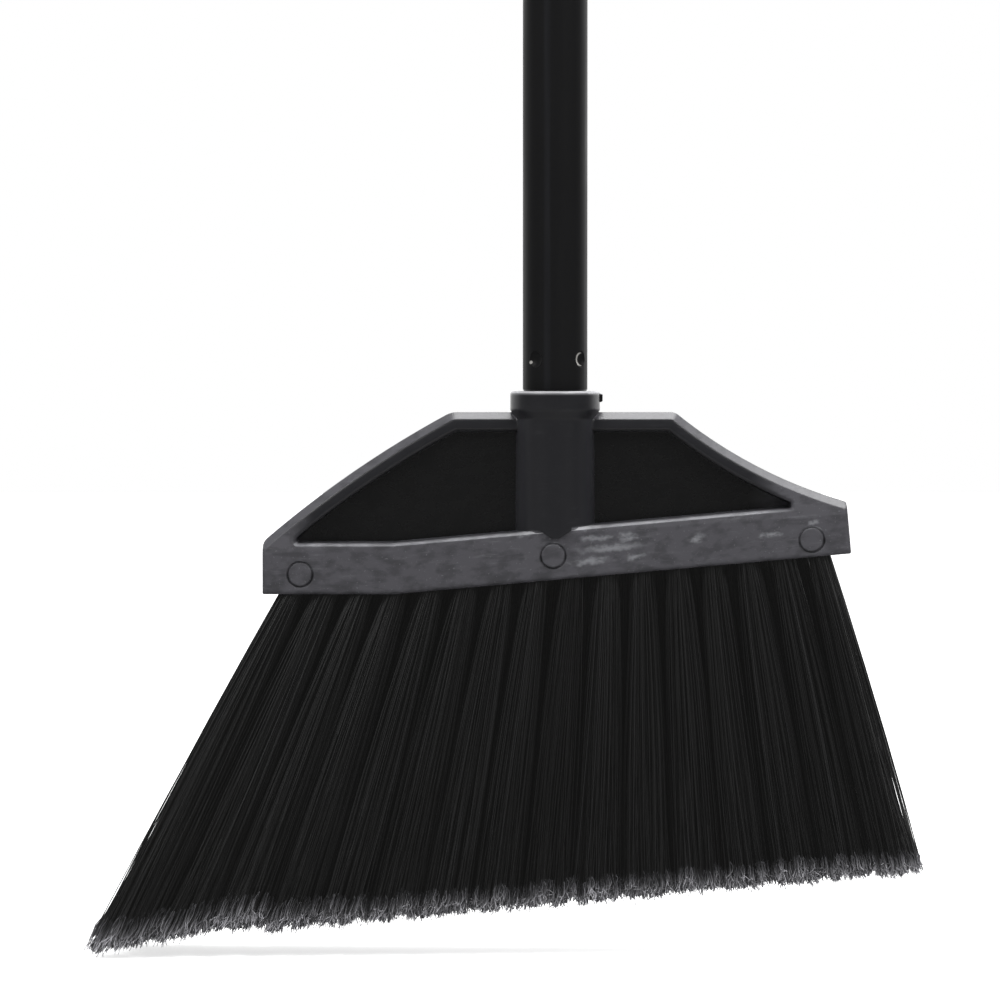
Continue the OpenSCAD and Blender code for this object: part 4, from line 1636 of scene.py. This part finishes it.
@dataclass
class ScrewTip:
    """Plug crimped into the tube's end: a turned core, and the ridge of its coarse thread."""

    segments: int = 48
    shank: float = 10.1 * MM
    shank_top: float = 19.5 * MM
    groove: float = 8.55 * MM
    groove_top: float = 13.9 * MM
    groove_foot: float = 7.1 * MM
    flank: float = 1.2 * MM
    hole: float = 5.5 * MM
    tube: float = 10.95 * MM
    shoulder_top: float = -10.5 * MM
    shoulder_foot: float = -12.5 * MM
    edge: float = 0.3 * MM
    core: float = 8.1 * MM
    nose_top: float = -36.6 * MM
    nose: float = 6.9 * MM
    foot: float = -38.5 * MM
    ridge_foot: float = 3.0 * MM
    ridge_crest: float = 1.7 * MM
    ridge_height: float = 1.5 * MM
    ridge_sunk: float = 0.1 * MM
    ridge_low: float = -35.4 * MM
    pitch: float = 5.08 * MM
    turns: float = 3.8
    weld: float = 0.001 * MM

    def profile(self) -> list[tuple[float, float]]:
        """Lists the core's radius and height down its outside.

        Returns:
            The profile, from the bottom of the shank's hole round to the nose.
        """
        return [
            (0.0, self.shoulder_top),
            (self.hole, self.shoulder_top),
            (self.hole, self.shank_top),
            (self.shank, self.shank_top),
            (self.shank, self.groove_top + self.flank),
            (self.groove, self.groove_top),
            (self.groove, self.groove_foot),
            (self.shank, self.groove_foot - self.flank),
            (self.shank, self.shoulder_top),
            (self.tube - self.edge, self.shoulder_top),
            (self.tube, self.shoulder_top - self.edge),
            (self.tube, self.shoulder_foot + self.edge),
            (self.tube - self.edge, self.shoulder_foot),
            (self.core, self.shoulder_foot),
            (self.core, self.nose_top),
            (self.nose, self.foot),
            (0.0, self.foot),
        ]

    def turned_core(self) -> bpy.types.Mesh:
        """Turns the profile round the handle's axis.

        Returns:
            The core's mesh.
        """
        form = bmesh.new()
        line = [form.verts.new((radius, 0.0, height)) for radius, height in self.profile()]
        edges = [form.edges.new(pair) for pair in zip(line, line[1:])]
        bmesh.ops.spin(
            form, geom=line + edges, axis=(0.0, 0.0, 1.0), cent=(0.0, 0.0, 0.0),
            steps=self.segments, angle=math.tau, use_merge=True,
        )
        bmesh.ops.remove_doubles(form, verts=form.verts, dist=self.weld)
        return finished_mesh("tip_core", form)

    def build(self, palette: Palette) -> None:
        """Builds the core and its ridge.

        Args:
            palette: The broom's materials.
        """
        core = link_object("tip_core", self.turned_core())
        core.data.materials.append(palette.tip)
        hand_over(core, Body.TIP, Slot.TIP, "threaded_tip")
        carrier = point_object("ridge_start", [(0.0, 0.0, self.ridge_low)])
        sizes = {
            "Turns": self.turns,
            "Steps": self.segments,
            "Radius": self.core + self.ridge_height / 2 - self.ridge_sunk,
            "Rise": self.pitch * self.turns,
            "Foot": self.ridge_foot,
            "Crest": self.ridge_crest,
            "Height": self.ridge_height,
            "Material": palette.tip,
        }
        hand_over(RidgeTree().grow("tip_thread", carrier, sizes), Body.TIP, Slot.TIP)
        bpy.data.objects.remove(carrier)


@dataclass
class GateStub:
    """Cut-off stub of the mould's gate on the right of the socket's collar."""

    root: float = 15.3 * MM
    end: float = 16.5 * MM
    middle: float = -2.8 * MM
    root_half: float = 1.7 * MM
    end_half: float = 1.3 * MM
    depth_share: float = 0.8
    rounding: float = 0.35 * MM
    rounding_steps: int = 3
    rounding_fullness: float = 0.5

    def build(self, palette: Palette) -> None:
        """Builds the stub.

        Args:
            palette: The broom's materials.
        """
        form = bmesh.new()
        rings = []
        for x, half in ((self.root, self.root_half), (self.end, self.end_half)):
            deep = half * self.depth_share
            corners = ((-deep, -half), (deep, -half), (deep, half), (-deep, half))
            rings.append([form.verts.new((x, y, self.middle + z)) for y, z in corners])
        root, end = rings
        for i in range(len(root)):
            j = (i + 1) % len(root)
            form.faces.new((root[i], root[j], end[j], end[i]))
        form.faces.new(root)
        form.faces.new(end)
        bmesh.ops.bevel(
            form, geom=form.edges[:], offset=self.rounding, segments=self.rounding_steps,
            affect="EDGES", profile=self.rounding_fullness,
        )
        stub = link_object("gate_stub", finished_mesh("gate_stub", form))
        stub.data.materials.append(palette.block)
        hand_over(stub, Body.HEAD, Slot.BLOCK)


def finished_mesh(name: str, form: bmesh.types.BMesh) -> bpy.types.Mesh:
    """Turns a form's faces outwards and makes it a mesh.

    Args:
        name: Name of the mesh.
        form: The form, which is used up.

    Returns:
        The mesh.
    """
    bmesh.ops.recalc_face_normals(form, faces=form.faces)
    mesh = bpy.data.meshes.new(name)
    form.to_mesh(mesh)
    form.free()
    return mesh


@dataclass(frozen=True)
class SoftLamp:
    """A wide lamp: its name, place, width and height in metres, and power in watts."""

    name: str
    place: Triple
    size: tuple[float, float]
    power: float

    def hang(self, look: Triple) -> None:
        """Hangs the lamp.

        Args:
            look: The point that it shines at.
        """
        data = bpy.data.lights.new(self.name, "AREA")
        data.shape = "RECTANGLE"
        data.size, data.size_y = self.size
        data.energy = self.power
        lamp = bpy.data.objects.new(self.name, data)
        lamp.location = self.place
        lamp.rotation_euler = (Vector(look) - Vector(self.place)).to_track_quat("-Z", "Y").to_euler()
        lamp.visible_camera = False
        bpy.context.scene.collection.objects.link(lamp)


@dataclass
class Studio:
    """Pale floor, soft lamps, white surroundings and the camera."""

    aim: Triple = (-19.1 * MM, 0.0, -38.3 * MM)
    view_width: float = 347.0 * MM
    distance: float = 1.6
    lift: float = math.radians(1.6)
    sensor: float = 36.0
    clip_end: float = 50.0

    front_look: Triple = (0.0, 0.0, -0.04)
    top_look: Triple = (0.0, 0.0, -0.05)
    left_lamp: SoftLamp = SoftLamp("left_lamp", (-1.05, -1.0, 1.25), (1.0, 0.8), 17.0)
    right_lamp: SoftLamp = SoftLamp("right_lamp", (1.05, -1.0, 1.25), (1.0, 0.8), 20.0)
    top_lamp: SoftLamp = SoftLamp("top_lamp", (0.25, 0.45, 1.6), (1.2, 1.0), 24.0)

    floor_half: float = 6.0
    floor_gap: float = 0.2 * MM
    floor_waves: Waves = Waves(3.0)
    floor_seen: tuple[Colour, Colour] = (grey(0.84), grey(0.88))
    floor_mirrored: tuple[Colour, Colour] = (grey(0.22), grey(0.8))
    floor_behind: Ease = Ease(0.25, 1.2)
    floor_lighting: Colour = grey(0.55)
    floor_roughness: float = 0.9
    floor_far: Ease = Ease(0.4, 1.8, 0.7, 1.0)

    screen_behind: Ease = Ease(0.15, 0.55)
    screen_foot: Ease = Ease(-0.12, 0.06)
    screen_level: Ease = Ease(0.05, 0.35, 1.7, 1.25)
    screen_left: Ease = Ease(-0.25, -0.6, 1.0, 0.6)
    room_level: Ease = Ease(-0.2, -0.9, 0.13, 0.24)

    def camera(self) -> None:
        """Sets the camera in front, a long way off and a little above level."""
        data = bpy.data.cameras.new("camera")
        data.sensor_width = self.sensor
        data.lens = self.sensor * self.distance / self.view_width
        data.clip_end = self.clip_end
        camera = bpy.data.objects.new("camera", data)
        aim = Vector(self.aim)
        camera.location = aim + self.distance * Vector((0.0, -math.cos(self.lift), math.sin(self.lift)))
        camera.rotation_euler = (aim - camera.location).to_track_quat("-Z", "Y").to_euler()
        bpy.context.scene.collection.objects.link(camera)
        bpy.context.scene.camera = camera

    def floor_material(self) -> bpy.types.Material:
        """Makes the floor's material, dimmer in reflections and as a light than the camera sees it.

        Returns:
            The material.
        """
        material, c, shader = new_material("floor_white")
        place = c.node("ShaderNodeTexCoord").outputs["Object"]
        light_path = c.node("ShaderNodeLightPath").outputs
        seen = light_path["Is Camera Ray"]
        pale = c.mix(Mix.COLOUR, c.noise(place, self.floor_waves), *self.floor_seen)
        behind = c.ease(c.parts(place)["Y"], self.floor_behind)
        mirrored = c.mix(Mix.COLOUR, behind, *self.floor_mirrored)
        unseen = c.mix(Mix.COLOUR, light_path["Is Glossy Ray"], self.floor_lighting, mirrored)
        c.feed(shader["Base Color"], c.mix(Mix.COLOUR, seen, unseen, pale))
        shader["Roughness"].default_value = self.floor_roughness
        shader["Specular IOR Level"].default_value = 0.0
        reach = c.node("ShaderNodeVectorMath", {0: place}, operation="LENGTH").outputs[1]
        c.feed(shader["Emission Color"], c.mix(Mix.COLOUR, seen, grey(0.0), grey(1.0)))
        c.feed(shader["Emission Strength"], c.ease(reach, self.floor_far))
        return material

    def floor(self, level: float) -> None:
        """Lays the floor under the bristles.

        Args:
            level: Height of the floor.
        """
        half = self.floor_half
        mesh = bpy.data.meshes.new("floor")
        corners = [(-half, -half, level), (half, -half, level), (half, half, level), (-half, half, level)]
        mesh.from_pydata(corners, [], [(0, 1, 2, 3)])
        mesh.materials.append(self.floor_material())
        link_object("floor", mesh)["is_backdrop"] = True

    def world(self) -> None:
        """Surrounds the scene with white that the camera sees and a dimmer room that lights the broom."""
        world = bpy.data.worlds.new("studio")
        bpy.context.scene.world = world
        world.use_nodes = True
        c = Canvas(world.node_tree)
        background = world.node_tree.nodes["Background"].inputs
        x, y, z = c.parts(c.node("ShaderNodeTexCoord").outputs["Generated"])
        screen = c.times(
            c.ease(y, self.screen_behind),
            c.ease(z, self.screen_foot),
            c.ease(z, self.screen_level),
            c.ease(x, self.screen_left),
        )
        room = c.math("ADD", screen, c.ease(x, self.room_level))
        light_path = c.node("ShaderNodeLightPath").outputs
        seen = c.most(light_path["Is Camera Ray"], light_path["Is Transmission Ray"])
        c.feed(background["Color"], c.mix(Mix.COLOUR, seen, room, grey(1.0)))
        background["Strength"].default_value = 1.0

    def build(self, lowest: float) -> None:
        """Sets up the studio.

        Args:
            lowest: Height of the lowest point of the broom.
        """
        self.camera()
        self.floor(lowest - self.floor_gap)
        self.world()
        self.left_lamp.hang(self.front_look)
        self.right_lamp.hang(self.front_look)
        self.top_lamp.hang(self.top_look)
        LOG.info("studio set, floor under %.4f", lowest)


def dress(node: str, material: bpy.types.Material) -> None:
    """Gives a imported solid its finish.

    Args:
        node: Name of the solid.
        material: Its material.
    """
    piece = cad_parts[node]
    piece.data.materials.clear()
    piece.data.materials.append(material)
    LOG.info("solid %s dressed in %s", node, material.name)


def main() -> None:
    """Builds the broom's pieces, dresses its solids and sets the studio."""
    logging.basicConfig(level=logging.INFO, format="%(name)s: %(message)s")
    bpy.context.scene.view_settings.view_transform = "Standard"
    bar = BarLine()
    palette = Palette(bar)
    finishes = {
        "block": palette.block,
        "tuft_anchors": palette.anchor,
        "handle_tube": palette.tube,
        "handle_film": palette.film,
        "hang_cap": palette.cap,
    }
    for node, material in finishes.items():
        dress(node, material)
    ScrewTip().build(palette)
    GateStub().build(palette)
    Bristles(bar).build(palette)
    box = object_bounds()
    Studio().build(box[0][2])


if __name__ == "__main__":
    main()
